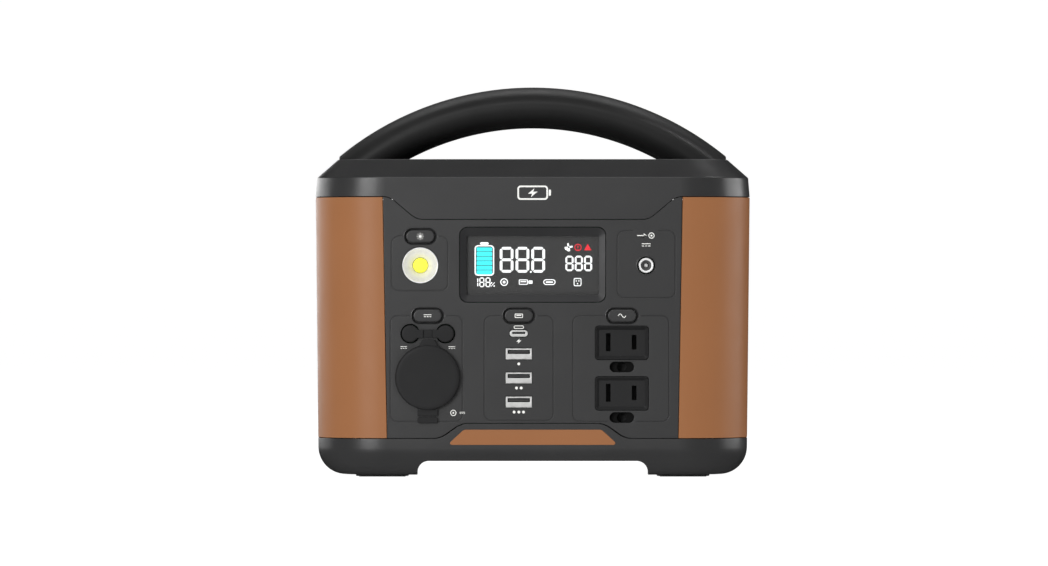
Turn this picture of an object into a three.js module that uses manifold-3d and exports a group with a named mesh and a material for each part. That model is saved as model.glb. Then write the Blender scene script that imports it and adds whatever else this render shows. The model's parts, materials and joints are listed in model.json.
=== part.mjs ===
// Portable power station: a hard case with a fixed arched handle, a front panel of ports, and the battery,
// inverter and fan inside. Millimetres, +Z up, front facing -Y, origin under the middle of the bounding box.

import * as THREE from 'three';
import { mergeVertices } from 'three/addons/utils/BufferGeometryUtils.js';
import Module from 'manifold-3d';

const wasm = await Module();
wasm.setup();

// Case
const WIDTH = 214.5;
const DEPTH = 132;
const CORNER_RADIUS = 33.8;
const WALL = 2.6;
const GAP = 0.3;
const CASE_FRONT = -DEPTH / 2;
// The case is widest at the cover's seam, and gets narrower by these shares of its width per millimetre
const SIDE_DRAFT = 0.0001;
const BROW_DRAFT = 0.00075;

// Heights, from the ground up
const SKID_Z = 1.1;
const ARCH_Z = 8.1;
const BASE_SEAM_Z = 19;
const COVER_SEAM_Z = 137.8;
const SHOULDER_Z = 147.2;
const DECK_Z = 156.2;
const DECK_INSET = 9.7;
const BASE_ROUND = 13.3;
const ARCH = { half: 57, radius: 5.2 };

// Tongues that reach over the front panel: the brow above and the badge tongue below
const BROW = { rootHalf: 70.2, tipHalf: 57, rootZ: COVER_SEAM_Z, tipZ: 126.6 };
const TONGUE = { rootHalf: 45.5, tipHalf: 35.3, rootZ: BASE_SEAM_Z, tipZ: 26.4 };
const STRIP = { rootHalf: 41.9, tipHalf: 33.8, rootZ: 16, tipZ: 23.5 };

// Front and rear panels
const PANEL_HALF = 73;
const PANEL_FRONT = CASE_FRONT + 0.4;
const PANEL_THICK = 2.5;
const PANEL_BACK = PANEL_FRONT + PANEL_THICK;

// Handle
const HANDLE_CENTRE_Z = 40.9;
const HANDLE_OUTER = 151.8;
const HANDLE_BAND = 20.4;
const HANDLE_DEPTH = 56;
const HANDLE_HALF_SPAN = 96;
const LINER_THICK = 3;
const LINER_DEPTH = 48;

// Display
const FRAME = { width: 72, height: 37.2, radius: 4, z: 104.3 };
const WINDOW = { width: 65.2, height: 29.3, radius: 1.2, z: 104 };

// Push buttons
const BUTTON = { width: 14.8, height: 7, proud: 0.9, reach: 4.1 };
const BUTTONS = {
  lamp: [-55.1, 118.2],
  dc: [-51.5, 79.3],
  usb: [-6.8, 79.3],
  ac: [43.8, 79.3],
};

// Ports
const LAMP = { x: -55.1, z: 104, radius: 9.1 };
const INPUT = { x: 55.6, z: 104, radius: 4.3 };
const SOCKET = { x: -51.5, z: 49.1, bore: 10.65, tube: 12.6, flange: 15, back: -25 };
const CAP = { radius: 15.95, front: CASE_FRONT - 3.2, back: PANEL_FRONT - GAP, strapFront: -67.2 };
const CAP_HINGE_Z = 29.9;
const DC = { x: SOCKET.x + 0.1, z: 70.5, half: 8.6, radius: 4.3 };
const USB = { x: -6.8, cZ: 70.6, aZ: [60.6, 48.8, 37] };
const AC = { x: 43.7, z: [66, 41.2], width: 26.4, height: 16.8, blade: 6.35 };
const GROUND = { drop: 11.8, width: 12, height: 5.2 };

// Outlines that group the ports: left, right, bottom, top
const PORT_GROUPS = [
  [-69.2, -41.6, 91.6, 118.2],
  [41.5, 69.9, 88.1, 121],
  [-69.7, -34.4, 27.4, 79.3],
  [-23.7, 10.1, 27.9, 79.3],
  [19.7, 66.8, 27.4, 79.3],
];
const GROOVE = { width: 0.7, depth: 0.5, radius: 4 };

// Feet and screws
const FOOT = { x: 74.1, y: 40, width: 26, depth: 14, sink: 1 };
const SCREW = { x: 88, y: 18, shank: 1.6, head: 3.4, boss: 4.6 };
const LUG = { inner: 83.4, outer: 104.4, half: 5, low: BASE_SEAM_Z + 3.4, high: BASE_SEAM_Z + 9 };

// Inside
const BOARD_FRONT = -55.3;
const BOARD_THICK = 1.6;
const CELL = { radius: 9.2, length: 65, pitch: 18.7, columns: 8, rows: 4, y: 18.5 };
const CRADLE_Z = ARCH_Z + WALL + 2 * GAP;
const CELLS_Z = CRADLE_Z + 2;
const CELLS_TOP = CELLS_Z + CELL.length + 0.8;
const INVERTER_Z = CELLS_TOP + 3.4;
const FAN = { x: 50, y: 54, z: 110.6, size: 50, thick: 14, bore: 23.4, hub: 9, blades: 7 };

// The cap over the vehicle socket stands proud, so the whole station moves back by half of that
const STAND_Y = (CASE_FRONT - CAP.front) / 2;

const PLASTIC_DARK = { color: 0x3d3d3e, roughness: 0.55, metalness: 0 };
const PLASTIC_BLACK = { color: 0x1c1c1d, roughness: 0.5, metalness: 0 };
const PLASTIC_BROWN = { color: 0x9e6a47, roughness: 0.5, metalness: 0 };
const RUBBER = { color: 0x2b2b2c, roughness: 0.85, metalness: 0 };
const STEEL = { color: 0xb9bbbd, roughness: 0.3, metalness: 1 };
const COPPER = { color: 0xb97a45, roughness: 0.4, metalness: 1 };
const BOARD = { color: 0x1f5b38, roughness: 0.6, metalness: 0 };
const GLASS = { color: 0x474a4d, roughness: 0.12, metalness: 0 };
const REFLECTOR = { color: 0xe9e9e6, roughness: 0.25, metalness: 0.4 };
const EMITTER = { color: 0xf4ee3a, roughness: 0.5, metalness: 0 };
const CELL_WRAP = { color: 0x2f6aa3, roughness: 0.4, metalness: 0 };
const ALUMINIUM = { color: 0x9fa3a7, roughness: 0.4, metalness: 1 };

const station = new THREE.Group();
station.position.y = STAND_Y;

// ---------- solids ----------

function solid(geometry) {
  const bare = geometry.clone();
  bare.deleteAttribute('normal');
  bare.deleteAttribute('uv');
  const merged = mergeVertices(bare, 1e-4);
  const index = merged.index.array;
  const triangles = [];
  for (let i = 0; i < index.length; i += 3) {
    const [a, b, c] = [index[i], index[i + 1], index[i + 2]];
    if (a !== b && b !== c && c !== a) triangles.push(a, b, c);
  }
  const positions = merged.attributes.position.array;
  if (signedVolume(positions, triangles) < 0) triangles.reverse();
  return new wasm.Manifold(new wasm.Mesh({
    numProp: 3,
    vertProperties: Float32Array.from(positions),
    triVerts: Uint32Array.from(triangles),
  }));
}

function signedVolume(positions, triangles) {
  const [a, b, c] = [new THREE.Vector3(), new THREE.Vector3(), new THREE.Vector3()];
  let volume = 0;
  for (let i = 0; i < triangles.length; i += 3) {
    a.fromArray(positions, 3 * triangles[i]);
    b.fromArray(positions, 3 * triangles[i + 1]);
    c.fromArray(positions, 3 * triangles[i + 2]);
    volume += a.dot(b.cross(c)) / 6;
  }
  return volume;
}

function geometryOf(body) {
  const mesh = body.getMesh();
  const geometry = new THREE.BufferGeometry();
  geometry.setAttribute('position', new THREE.BufferAttribute(mesh.vertProperties, 3));
  geometry.setIndex(new THREE.BufferAttribute(mesh.triVerts, 1));
  geometry.computeVertexNormals();
  return geometry;
}

function add(name, body, look) {
  const part = new THREE.Mesh(geometryOf(body), new THREE.MeshStandardMaterial(look));
  part.name = name;
  station.add(part);
}

// The sides lean in below the cover's seam, and above it.
function drafted(body) {
  const geometry = geometryOf(body);
  const position = geometry.attributes.position;
  for (let i = 0; i < position.count; i += 1) {
    const rise = position.getZ(i) - COVER_SEAM_Z;
    const lean = rise > 0 ? BROW_DRAFT * rise : -SIDE_DRAFT * rise;
    position.setX(i, position.getX(i) * (1 - lean));
  }
  return solid(geometry);
}

// ---------- outlines ----------

function roundedRect(width, height, radius, x = 0, y = 0) {
  const shape = new THREE.Shape();
  const [w, h] = [width / 2 - radius, height / 2 - radius];
  shape.absarc(x + w, y + h, radius, 0, Math.PI / 2);
  shape.absarc(x - w, y + h, radius, Math.PI / 2, Math.PI);
  shape.absarc(x - w, y - h, radius, Math.PI, 1.5 * Math.PI);
  shape.absarc(x + w, y - h, radius, 1.5 * Math.PI, 2 * Math.PI);
  shape.closePath();
  return shape;
}

const pill = (width, height, x, y) => roundedRect(width, height, height / 2 - 0.001, x, y);

function circle(radius, x = 0, y = 0) {
  return new THREE.Shape().absarc(x, y, radius, 0, 2 * Math.PI);
}

// A tab that narrows from its root to its tip, mirrored about the middle of the case
function taperedTab({ rootHalf, tipHalf, rootZ, tipZ }, grow = 0, rootRun = 0) {
  const run = Math.sign(rootZ - tipZ);
  const slope = (rootHalf - tipHalf) / Math.abs(rootZ - tipZ);
  const spread = grow * Math.hypot(1, slope);
  const shape = new THREE.Shape();
  shape.moveTo(-rootHalf - spread - rootRun * slope, rootZ + run * rootRun);
  shape.lineTo(-tipHalf - spread + grow * slope, tipZ - run * grow);
  shape.lineTo(tipHalf + spread - grow * slope, tipZ - run * grow);
  shape.lineTo(rootHalf + spread + rootRun * slope, rootZ + run * rootRun);
  shape.closePath();
  return shape;
}

// ---------- basic solids ----------

// An outline seen from above, between two heights
function slab(shape, low, high, curveSegments = 3) {
  const options = { depth: high - low, bevelEnabled: false, curveSegments };
  return solid(new THREE.ExtrudeGeometry(shape, options).translate(0, 0, low));
}

// The same, with both ends drawn in over a given height
function bevelledSlab(shape, low, high, bevel) {
  const geometry = new THREE.ExtrudeGeometry(shape, {
    depth: high - low - 2 * bevel.height,
    curveSegments: 3,
    bevelThickness: bevel.height,
    bevelSize: bevel.inset,
    bevelOffset: -bevel.inset,
    bevelSegments: bevel.segments,
  });
  return solid(geometry.translate(0, 0, low + bevel.height));
}

// An outline seen from the front (x, z), between two depths
function plate(shape, front, back, curveSegments = 3) {
  const options = { depth: back - front, bevelEnabled: false, curveSegments };
  return solid(new THREE.ExtrudeGeometry(shape, options).rotateX(Math.PI / 2).translate(0, back, 0));
}

// A turned piece on an axis along Y: the profile's points are [radius, y]
function turned(profile, x, z, segments = 20) {
  const points = profile.map(([radius, y]) => new THREE.Vector2(radius, y));
  const closed = profile[0][0] === 0 ? points : [...points, points[0].clone()];
  return solid(new THREE.LatheGeometry(closed, segments).translate(x, 0, z));
}

function disc(radius, front, back, x, z, segments = 20) {
  return turned([[0, front], [radius, front], [radius, back], [0, back]], x, z, segments);
}

function box(x0, x1, y0, y1, z0, z1) {
  const geometry = new THREE.BoxGeometry(x1 - x0, y1 - y0, z1 - z0);
  return solid(geometry.translate((x0 + x1) / 2, (y0 + y1) / 2, (z0 + z1) / 2));
}

function upright(radius, low, high, x, y, segments = 10) {
  const geometry = new THREE.CylinderGeometry(radius, radius, high - low, segments);
  return solid(geometry.rotateX(Math.PI / 2).translate(x, y, (low + high) / 2));
}

const joined = (bodies) => bodies.reduce((sum, body) => sum.add(body));

// ---------- case ----------

const planOutline = (inset) => roundedRect(WIDTH - 2 * inset, DEPTH - 2 * inset, CORNER_RADIUS - inset);
const beyond = (low, high) => box(-WIDTH, WIDTH, -DEPTH, DEPTH, low, high);

function makeTopCover() {
  const bevel = { height: DECK_Z - SHOULDER_Z, inset: DECK_INSET, segments: 1 };
  const low = COVER_SEAM_Z - 2 * bevel.height;
  const outside = bevelledSlab(planOutline(0), low, DECK_Z, bevel);
  const inside = bevelledSlab(planOutline(WALL), low - WALL, DECK_Z - WALL, bevel);
  const brow = plate(taperedTab(BROW, 0, 4), CASE_FRONT, CASE_FRONT + WALL);
  const shell = drafted(outside.subtract(inside).intersect(beyond(COVER_SEAM_Z, DECK_Z + 1)));
  add('top_cover', shell.add(brow), PLASTIC_DARK);
}

function makeBaseTray() {
  const outer = { height: BASE_ROUND, inset: BASE_ROUND, segments: 3 };
  const inner = { height: BASE_ROUND - WALL, inset: BASE_ROUND - WALL, segments: 1 };
  const roof = BASE_SEAM_Z + 2 * BASE_ROUND;
  const arch = (grow) => plate(
    roundedRect(2 * (ARCH.half + grow), 2 * (ARCH_Z + grow), ARCH.radius + grow), -DEPTH, DEPTH);
  const hollow = bevelledSlab(planOutline(WALL), SKID_Z + 3.6, roof, inner).subtract(arch(WALL));
  const block = bevelledSlab(planOutline(0), SKID_Z, roof, outer).subtract(arch(0));
  let tray = drafted(block.subtract(hollow).intersect(beyond(0, BASE_SEAM_Z)));
  tray = tray.add(plate(taperedTab(TONGUE, 0, 4), CASE_FRONT, CASE_FRONT + WALL));
  tray = tray.subtract(plate(taperedTab(STRIP, GAP), CASE_FRONT - 1, CASE_FRONT + 1.2));
  for (const [x, y] of corners(SCREW.x, SCREW.y)) {
    tray = tray.add(upright(SCREW.boss, SKID_Z + 2.6, BASE_SEAM_Z + 3, x, y));
    tray = tray.subtract(upright(SCREW.shank + GAP, 0, BASE_SEAM_Z + 5, x, y));
    tray = tray.subtract(upright(SCREW.head + GAP, 0, SKID_Z + 4, x, y));
  }
  for (const [x, y] of corners(FOOT.x, FOOT.y)) {
    const pocket = roundedRect(FOOT.width + 2 * GAP, FOOT.depth + 2 * GAP, 3, x, y);
    tray = tray.subtract(slab(pocket, 0, SKID_Z + FOOT.sink));
  }
  add('base_tray', tray, PLASTIC_DARK);
}

function corners(x, y) {
  return [[-x, -y], [x, -y], [-x, y], [x, y]];
}

function makeSidePanel(name, side) {
  const low = BASE_SEAM_Z + GAP;
  const high = COVER_SEAM_Z - GAP;
  const edges = [side * (PANEL_HALF + GAP), side * WIDTH].sort((a, b) => a - b);
  const shell = slab(planOutline(0), low, high).subtract(slab(planOutline(WALL), 0, DECK_Z));
  let panel = drafted(shell.intersect(box(...edges, -DEPTH, DEPTH, 0, DECK_Z)));
  const xs = [side * LUG.inner, side * LUG.outer].sort((a, b) => a - b);
  for (const end of [-1, 1]) {
    const y = end * SCREW.y;
    panel = panel.add(box(...xs, y - LUG.half, y + LUG.half, LUG.low, LUG.high));
    panel = panel.subtract(upright(SCREW.shank + GAP, 0, DECK_Z, side * SCREW.x, y));
  }
  add(name, panel, PLASTIC_BROWN);
}

// ---------- panels ----------

function panelBlank(front) {
  const low = BASE_SEAM_Z + GAP;
  const high = COVER_SEAM_Z - GAP;
  return drafted(box(-PANEL_HALF, PANEL_HALF, front, front + PANEL_THICK, low, high));
}

function grooveRing([left, right, bottom, top]) {
  const [x, z] = [(left + right) / 2, (bottom + top) / 2];
  const [width, height] = [right - left, top - bottom];
  const ring = roundedRect(width, height, GROOVE.radius, x, z);
  const both = 2 * GROOVE.width;
  ring.holes.push(roundedRect(width - both, height - both, GROOVE.radius - GROOVE.width, x, z));
  return plate(ring, PANEL_FRONT - 1, PANEL_FRONT + GROOVE.depth, 1);
}

function makeFrontPanel() {
  const cut = (shape, segments = 2) => plate(shape, CASE_FRONT - 5, PANEL_BACK + 5, segments);
  let panel = panelBlank(PANEL_FRONT);
  panel = panel.subtract(plate(taperedTab(BROW, GAP, 4), -DEPTH, 0));
  panel = panel.subtract(plate(taperedTab(TONGUE, GAP, 4), -DEPTH, 0));
  for (const outline of PORT_GROUPS) panel = panel.subtract(grooveRing(outline));
  panel = panel.subtract(cut(roundedRect(FRAME.width, FRAME.height, FRAME.radius, 0, FRAME.z), 2));
  for (const [x, z] of Object.values(BUTTONS)) {
    panel = panel.subtract(cut(pill(BUTTON.width, BUTTON.height, x, z)));
  }
  panel = panel.subtract(cut(circle(LAMP.radius, LAMP.x, LAMP.z), 10));
  panel = panel.subtract(cut(circle(INPUT.radius, INPUT.x, INPUT.z), 8));
  panel = panel.subtract(cut(circle(SOCKET.flange + GAP, SOCKET.x, SOCKET.z), 12));
  for (const side of [-1, 1]) panel = panel.subtract(cut(circle(DC.radius, DC.x + side * DC.half, DC.z), 8));
  panel = panel.subtract(cut(pill(9.6, 3.9, USB.x, USB.cZ)));
  for (const z of USB.aZ) panel = panel.subtract(cut(roundedRect(13.4, 6, 0.5, USB.x, z), 1));
  for (const z of AC.z) {
    panel = panel.subtract(cut(roundedRect(AC.width, AC.height, 4, AC.x, z), 2));
    panel = panel.subtract(cut(pill(GROUND.width, GROUND.height, AC.x, z - GROUND.drop)));
  }
  add('front_panel', panel, PLASTIC_DARK);
}

// Two fields of level slots, the right one in front of the fan
function makeRearPanel() {
  const front = -PANEL_BACK;
  let panel = panelBlank(front);
  for (const x of [-FAN.x, FAN.x]) {
    for (let row = -3; row <= 3; row += 1) {
      const reach = Math.sqrt(1 - (row / 4) ** 2) * FAN.bore;
      panel = panel.subtract(plate(pill(2 * reach, 3.2, x, FAN.z + 6 * row), front - 5, front + 10, 1));
    }
  }
  add('rear_panel', panel, PLASTIC_DARK);
}

// ---------- handle ----------

function archBand(inner, outer, depth, bevel) {
  const shape = new THREE.Shape();
  const spread = Math.PI / 3.2;
  shape.absarc(0, HANDLE_CENTRE_Z, outer, Math.PI / 2 - spread, Math.PI / 2 + spread);
  shape.absarc(0, HANDLE_CENTRE_Z, inner, Math.PI / 2 + spread, Math.PI / 2 - spread, true);
  shape.closePath();
  const geometry = new THREE.ExtrudeGeometry(shape, {
    depth: depth - 2 * bevel,
    curveSegments: 10,
    bevelEnabled: bevel > 0,
    bevelThickness: bevel,
    bevelSize: bevel,
    bevelOffset: -bevel,
    bevelSegments: 1,
  });
  return solid(geometry.rotateX(Math.PI / 2).translate(0, depth / 2 - bevel, 0));
}

function makeHandle() {
  const inner = HANDLE_OUTER - HANDLE_BAND;
  const above = box(-HANDLE_HALF_SPAN, HANDLE_HALF_SPAN, -DEPTH, DEPTH, DECK_Z + GAP, DECK_Z + WIDTH);
  const shell = archBand(inner, HANDLE_OUTER, HANDLE_DEPTH, 3)
    .subtract(archBand(inner - 5, inner + LINER_THICK + GAP, LINER_DEPTH + 2 * GAP, 0))
    .subtract(archBand(inner + 1, HANDLE_OUTER - WALL - 1, LINER_DEPTH - 6, 0));
  add('handle_shell', shell.intersect(above), PLASTIC_DARK);
  const liner = archBand(inner + 0.2, inner + LINER_THICK, LINER_DEPTH, 0);
  add('handle_liner', liner.intersect(above), PLASTIC_BLACK);
}

// ---------- feet, screws and strip ----------

function makeFeetAndScrews() {
  const ends = ['front_left', 'front_right', 'rear_left', 'rear_right'];
  corners(FOOT.x, FOOT.y).forEach(([x, y], i) => {
    const outline = roundedRect(FOOT.width, FOOT.depth, 3, x, y);
    add(`foot_${ends[i]}`, slab(outline, 0, SKID_Z + FOOT.sink - GAP), RUBBER);
  });
  corners(SCREW.x, SCREW.y).forEach(([x, y], i) => {
    const head = upright(SCREW.head, SKID_Z + 1.4, SKID_Z + 4 - GAP, x, y);
    const shank = upright(SCREW.shank, SKID_Z + 3, BASE_SEAM_Z + 8.4, x, y);
    add(`case_screw_${ends[i]}`, head.add(shank), STEEL);
  });
  add('accent_strip', plate(taperedTab(STRIP), CASE_FRONT - 0.2, CASE_FRONT + 0.9), PLASTIC_BROWN);
}

// ---------- display, lamp and buttons ----------

function makeDisplay() {
  const frame = roundedRect(FRAME.width - 2 * GAP, FRAME.height - 2 * GAP, FRAME.radius - GAP, 0, FRAME.z);
  frame.holes.push(roundedRect(WINDOW.width, WINDOW.height, WINDOW.radius, 0, WINDOW.z));
  add('display_frame', plate(frame, PANEL_FRONT + 0.8, PANEL_BACK, 2), PLASTIC_DARK);
  const pane = roundedRect(WINDOW.width - 2 * GAP, WINDOW.height - 2 * GAP, WINDOW.radius - GAP, 0, WINDOW.z);
  add('display_window', plate(pane, PANEL_FRONT + 1.2, PANEL_BACK - 0.2, 1), GLASS);
  const module = box(-34.5, 34.5, PANEL_BACK + GAP, PANEL_BACK + 4.5, WINDOW.z - 16.4, WINDOW.z + 16.4);
  add('lcd_module', module, PLASTIC_BLACK);
}

function makeLamp() {
  const { x, z } = LAMP;
  const rim = LAMP.radius - GAP;
  const cup = [
    [rim - 0.6, PANEL_FRONT], [rim, PANEL_FRONT], [rim, PANEL_FRONT + 1.4],
    [4.7, PANEL_FRONT + 5.4], [4.7, PANEL_FRONT + 7.2], [3.9, PANEL_FRONT + 7.2],
    [3.9, PANEL_FRONT + 5.4], [rim - 0.6, PANEL_FRONT + 1.2],
  ];
  add('lamp_reflector', turned(cup, x, z), REFLECTOR);
  add('lamp_emitter', disc(3.6, PANEL_FRONT + 5.2, BOARD_FRONT - GAP, x, z, 20), EMITTER);
  add('lamp_lens', disc(rim - 0.6 - GAP, PANEL_FRONT + 0.2, PANEL_FRONT + 1, x, z), GLASS);
}

function makeButtons() {
  for (const [name, [x, z]] of Object.entries(BUTTONS)) {
    const front = PANEL_FRONT - BUTTON.proud;
    const flange = PANEL_BACK + GAP;
    const key = plate(pill(BUTTON.width - 1, BUTTON.height - 1, x, z), front, flange + 0.5, 2)
      .add(plate(pill(BUTTON.width + 1.6, BUTTON.height + 1.6, x, z), flange, flange + 1, 1))
      .add(disc(1.8, flange + 0.5, flange + BUTTON.reach - 1, x, z, 10));
    add(`${name}_button`, key, PLASTIC_DARK);
    const body = box(x - 3, x + 3, BOARD_FRONT - 2.8, BOARD_FRONT - GAP, z - 3, z + 3);
    const plunger = disc(1.6, flange + BUTTON.reach, BOARD_FRONT - 2, x, z, 10);
    add(`${name}_switch`, body.add(plunger), PLASTIC_BLACK);
  }
}

// ---------- round ports and their rubber covers ----------

function makeVehicleSocket() {
  const { x, z, bore, tube, flange, back } = SOCKET;
  const barrel = [
    [bore, PANEL_FRONT], [flange, PANEL_FRONT], [flange, PANEL_FRONT + 2], [tube, PANEL_FRONT + 2],
    [tube, back], [3.4, back], [3.4, back - 2], [bore, back - 2],
  ];
  add('vehicle_socket_barrel', turned(barrel, x, z), STEEL);
  const contact = [[0, back - 6], [2, back - 6], [3, back - 5], [3, back + 2], [0, back + 2]];
  add('vehicle_socket_contact', turned(contact, x, z, 16), COPPER);

  const lid = [
    [0, CAP.front], [CAP.radius - 1, CAP.front], [CAP.radius, CAP.front + 1], [CAP.radius, CAP.back],
    [10.2, CAP.back], [10.2, CAP.back + 3], [8.4, CAP.back + 3], [8.4, CAP.back], [0, CAP.back],
  ];
  const tab = plate(roundedRect(8.4, 8, 1.5, x + 0.4, z + CAP.radius - 1.4), CAP.front + 0.8, CAP.back, 1);
  const strap = box(x - 4.9, x + 4.9, CAP.strapFront, CAP.back, CAP_HINGE_Z + GAP, z - CAP.radius + 3);
  add('vehicle_socket_cap', joined([turned(lid, x, z), tab, strap]), RUBBER);
  const anchor = box(x - 4.9, x + 4.9, CAP.strapFront, CAP.back, CAP_HINGE_Z - 3.2, CAP_HINGE_Z - GAP);
  add('vehicle_socket_cap_anchor', anchor, RUBBER);
}

// A cup with a pin standing on its floor
function barrelJack(x, z, radius, front) {
  const back = BOARD_FRONT - GAP;
  const floor = back - 1.5;
  const cup = [[0, floor], [3.1, floor], [3.1, front], [radius, front], [radius, back], [0, back]];
  return turned(cup, x, z, 16).add(disc(1.05, front + 2.6, back - 1, x, z, 8));
}

function makeJacks() {
  for (const [name, side] of [['left', -1], ['right', 1]]) {
    const jack = barrelJack(DC.x + side * DC.half, DC.z, DC.radius - GAP, PANEL_FRONT + 0.3);
    add(`dc_jack_${name}`, jack, PLASTIC_BLACK);
  }
  add('input_jack', barrelJack(INPUT.x, INPUT.z, INPUT.radius - GAP, PANEL_FRONT + 0.5), STEEL);
}

// A dumbbell of rubber: its middle is fixed, and each end peels away about an upright line
function makeJackCovers() {
  const [front, back] = [CAP.back - 1.8, CAP.back];
  const strapFront = CAP.back - 1;
  const middle = 2;
  add('dc_cover_bridge', box(DC.x - middle, DC.x + middle, strapFront, back, DC.z - 2, DC.z + 2), RUBBER);
  for (const [name, side] of [['left', -1], ['right', 1]]) {
    const x = DC.x + side * DC.half;
    const near = DC.x + side * (middle + GAP);
    const strap = box(Math.min(near, x), Math.max(near, x), strapFront, back, DC.z - 2, DC.z + 2);
    const lid = [
      [0, front], [3.7, front], [4.2, front + 0.5], [4.2, back], [2.6, back], [2.6, back + 1], [0, back + 1],
    ];
    add(`dc_cover_${name}`, strap.add(turned(lid, x, DC.z, 20)), RUBBER);
  }
}

// ---------- flat ports ----------

function flatPort(outline, opening, tongue) {
  const [front, back] = [PANEL_FRONT + GAP, BOARD_FRONT - GAP];
  return plate(outline, front, back, 1)
    .subtract(plate(opening, front - 1, back - 1, 1))
    .add(plate(tongue, front + 0.8, back - 0.5, 1));
}

function makeUsbPorts() {
  const { x, cZ } = USB;
  const tongue = roundedRect(6.7, 0.7, 0.2, x, cZ);
  add('usb_c_port', flatPort(pill(8.94, 3.26, x, cZ), pill(8.34, 2.56, x, cZ), tongue), STEEL);
  USB.aZ.forEach((z, i) => {
    const shell = roundedRect(12.8, 5.4, 0.5, x, z);
    const opening = roundedRect(12.2, 4.7, 0.4, x, z);
    add(`usb_a_port_${i + 1}`, flatPort(shell, opening, roundedRect(11, 1.8, 0.2, x, z + 1)), STEEL);
  });
}

function makeOutlets() {
  const [front, shelf, back] = [PANEL_FRONT + 1.2, PANEL_BACK + GAP, BOARD_FRONT + 7.5];
  AC.z.forEach((z, i) => {
    const face = roundedRect(AC.width - 2 * GAP, AC.height - 2 * GAP, 4 - GAP, AC.x, z);
    let body = box(AC.x - 14.2, AC.x + 14.2, shelf, back, z - 15, z + 8.6);
    body = body.add(plate(face, front, shelf + 1, 2));
    for (const [side, height] of [[-1, 8.8], [1, 6.9]]) {
      const slot = roundedRect(2.2, height, 0.4, AC.x - 0.3 + side * AC.blade, z + 0.3);
      body = body.subtract(plate(slot, front - 1, back - 2, 1));
    }
    body = body.subtract(disc(2.5, shelf - 1, back - 2, AC.x, z - GROUND.drop, 14));
    add(`ac_outlet_${i === 0 ? 'upper' : 'lower'}`, body, PLASTIC_BLACK);
  });
}

// ---------- inside ----------

function makeFrontBoard() {
  let board = box(-69, 69, BOARD_FRONT, BOARD_FRONT + BOARD_THICK, BASE_SEAM_Z + 6, COVER_SEAM_Z - 5);
  board = board.subtract(disc(SOCKET.tube + 0.8, BOARD_FRONT - 1, BOARD_FRONT + 5, SOCKET.x, SOCKET.z));
  board = board.subtract(box(AC.x - 14.8, AC.x + 14.8, BOARD_FRONT - 1, BOARD_FRONT + 5, 0, AC.z[0] + 9.2));
  add('front_board', board, BOARD);
}

function makeBattery() {
  const halfX = (CELL.columns * CELL.pitch) / 2;
  const halfY = (CELL.rows * CELL.pitch) / 2;
  const [wallX, wallY] = [halfX + 0.6, halfY + 0.6];
  const cells = [];
  for (const z of [CELLS_Z, CELLS_TOP - 0.4]) {
    cells.push(box(-halfX + 1, halfX - 1, CELL.y - halfY + 1, CELL.y + halfY - 1, z, z + 0.4));
  }
  for (let column = 0; column < CELL.columns; column += 1) {
    for (let row = 0; row < CELL.rows; row += 1) {
      const x = (column + 0.5) * CELL.pitch - halfX;
      const y = CELL.y + (row + 0.5) * CELL.pitch - halfY;
      cells.push(upright(CELL.radius, CELLS_Z + 0.2, CELLS_TOP - 0.2, x, y, 8));
    }
  }
  add('battery_cells', joined(cells), CELL_WRAP);
  const cradle = box(-wallX - 2, wallX + 2, CELL.y - wallY - 2, CELL.y + wallY + 2, CRADLE_Z, CRADLE_Z + 14);
  const well = box(-wallX, wallX, CELL.y - wallY, CELL.y + wallY, CELLS_Z - GAP, CRADLE_Z + 20);
  add('battery_cradle', cradle.subtract(well), PLASTIC_BLACK);
  const lid = box(-halfX, halfX, CELL.y - halfY, CELL.y + halfY, CELLS_TOP + GAP, CELLS_TOP + 2);
  const [front, back] = [CELL.y - 24, CELL.y + 24];
  const windows = [-56, -28, 0, 28, 56].map((x) => box(x - 9, x + 9, front, back, 0, DECK_Z));
  add('battery_cover', lid.subtract(joined(windows)), PLASTIC_BLACK);
}

function makePowerBoards() {
  const top = INVERTER_Z + BOARD_THICK;
  const coils = [[-78, 20], [-78, 38]].map(([x, y]) => upright(7, top - 0.5, top + 24, x, y, 14));
  add('inverter_board', joined([box(-94, 94, -30, 44, INVERTER_Z, top), ...coils]), BOARD);
  const core = box(24, 58, -22, 14, top + GAP, top + 28).add(box(29, 53, -27, 19, top + 5, top + 23));
  add('transformer', core, COPPER);
  const fins = [];
  for (let i = 0; i < 9; i += 1) fins.push(box(-58 + 8 * i, -56 + 8 * i, -20, 12, top + 2, top + 26));
  add('heat_sink', joined([box(-58, 8, -20, 12, top + GAP, top + 4), ...fins]), ALUMINIUM);
  const chips = [8, 24, 40].map((y) => box(85, 89, y - 4, y + 4, 50, 62));
  add('battery_board', joined([box(88, 89.6, 0, 48, 33, 76), ...chips]), BOARD);
}

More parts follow.
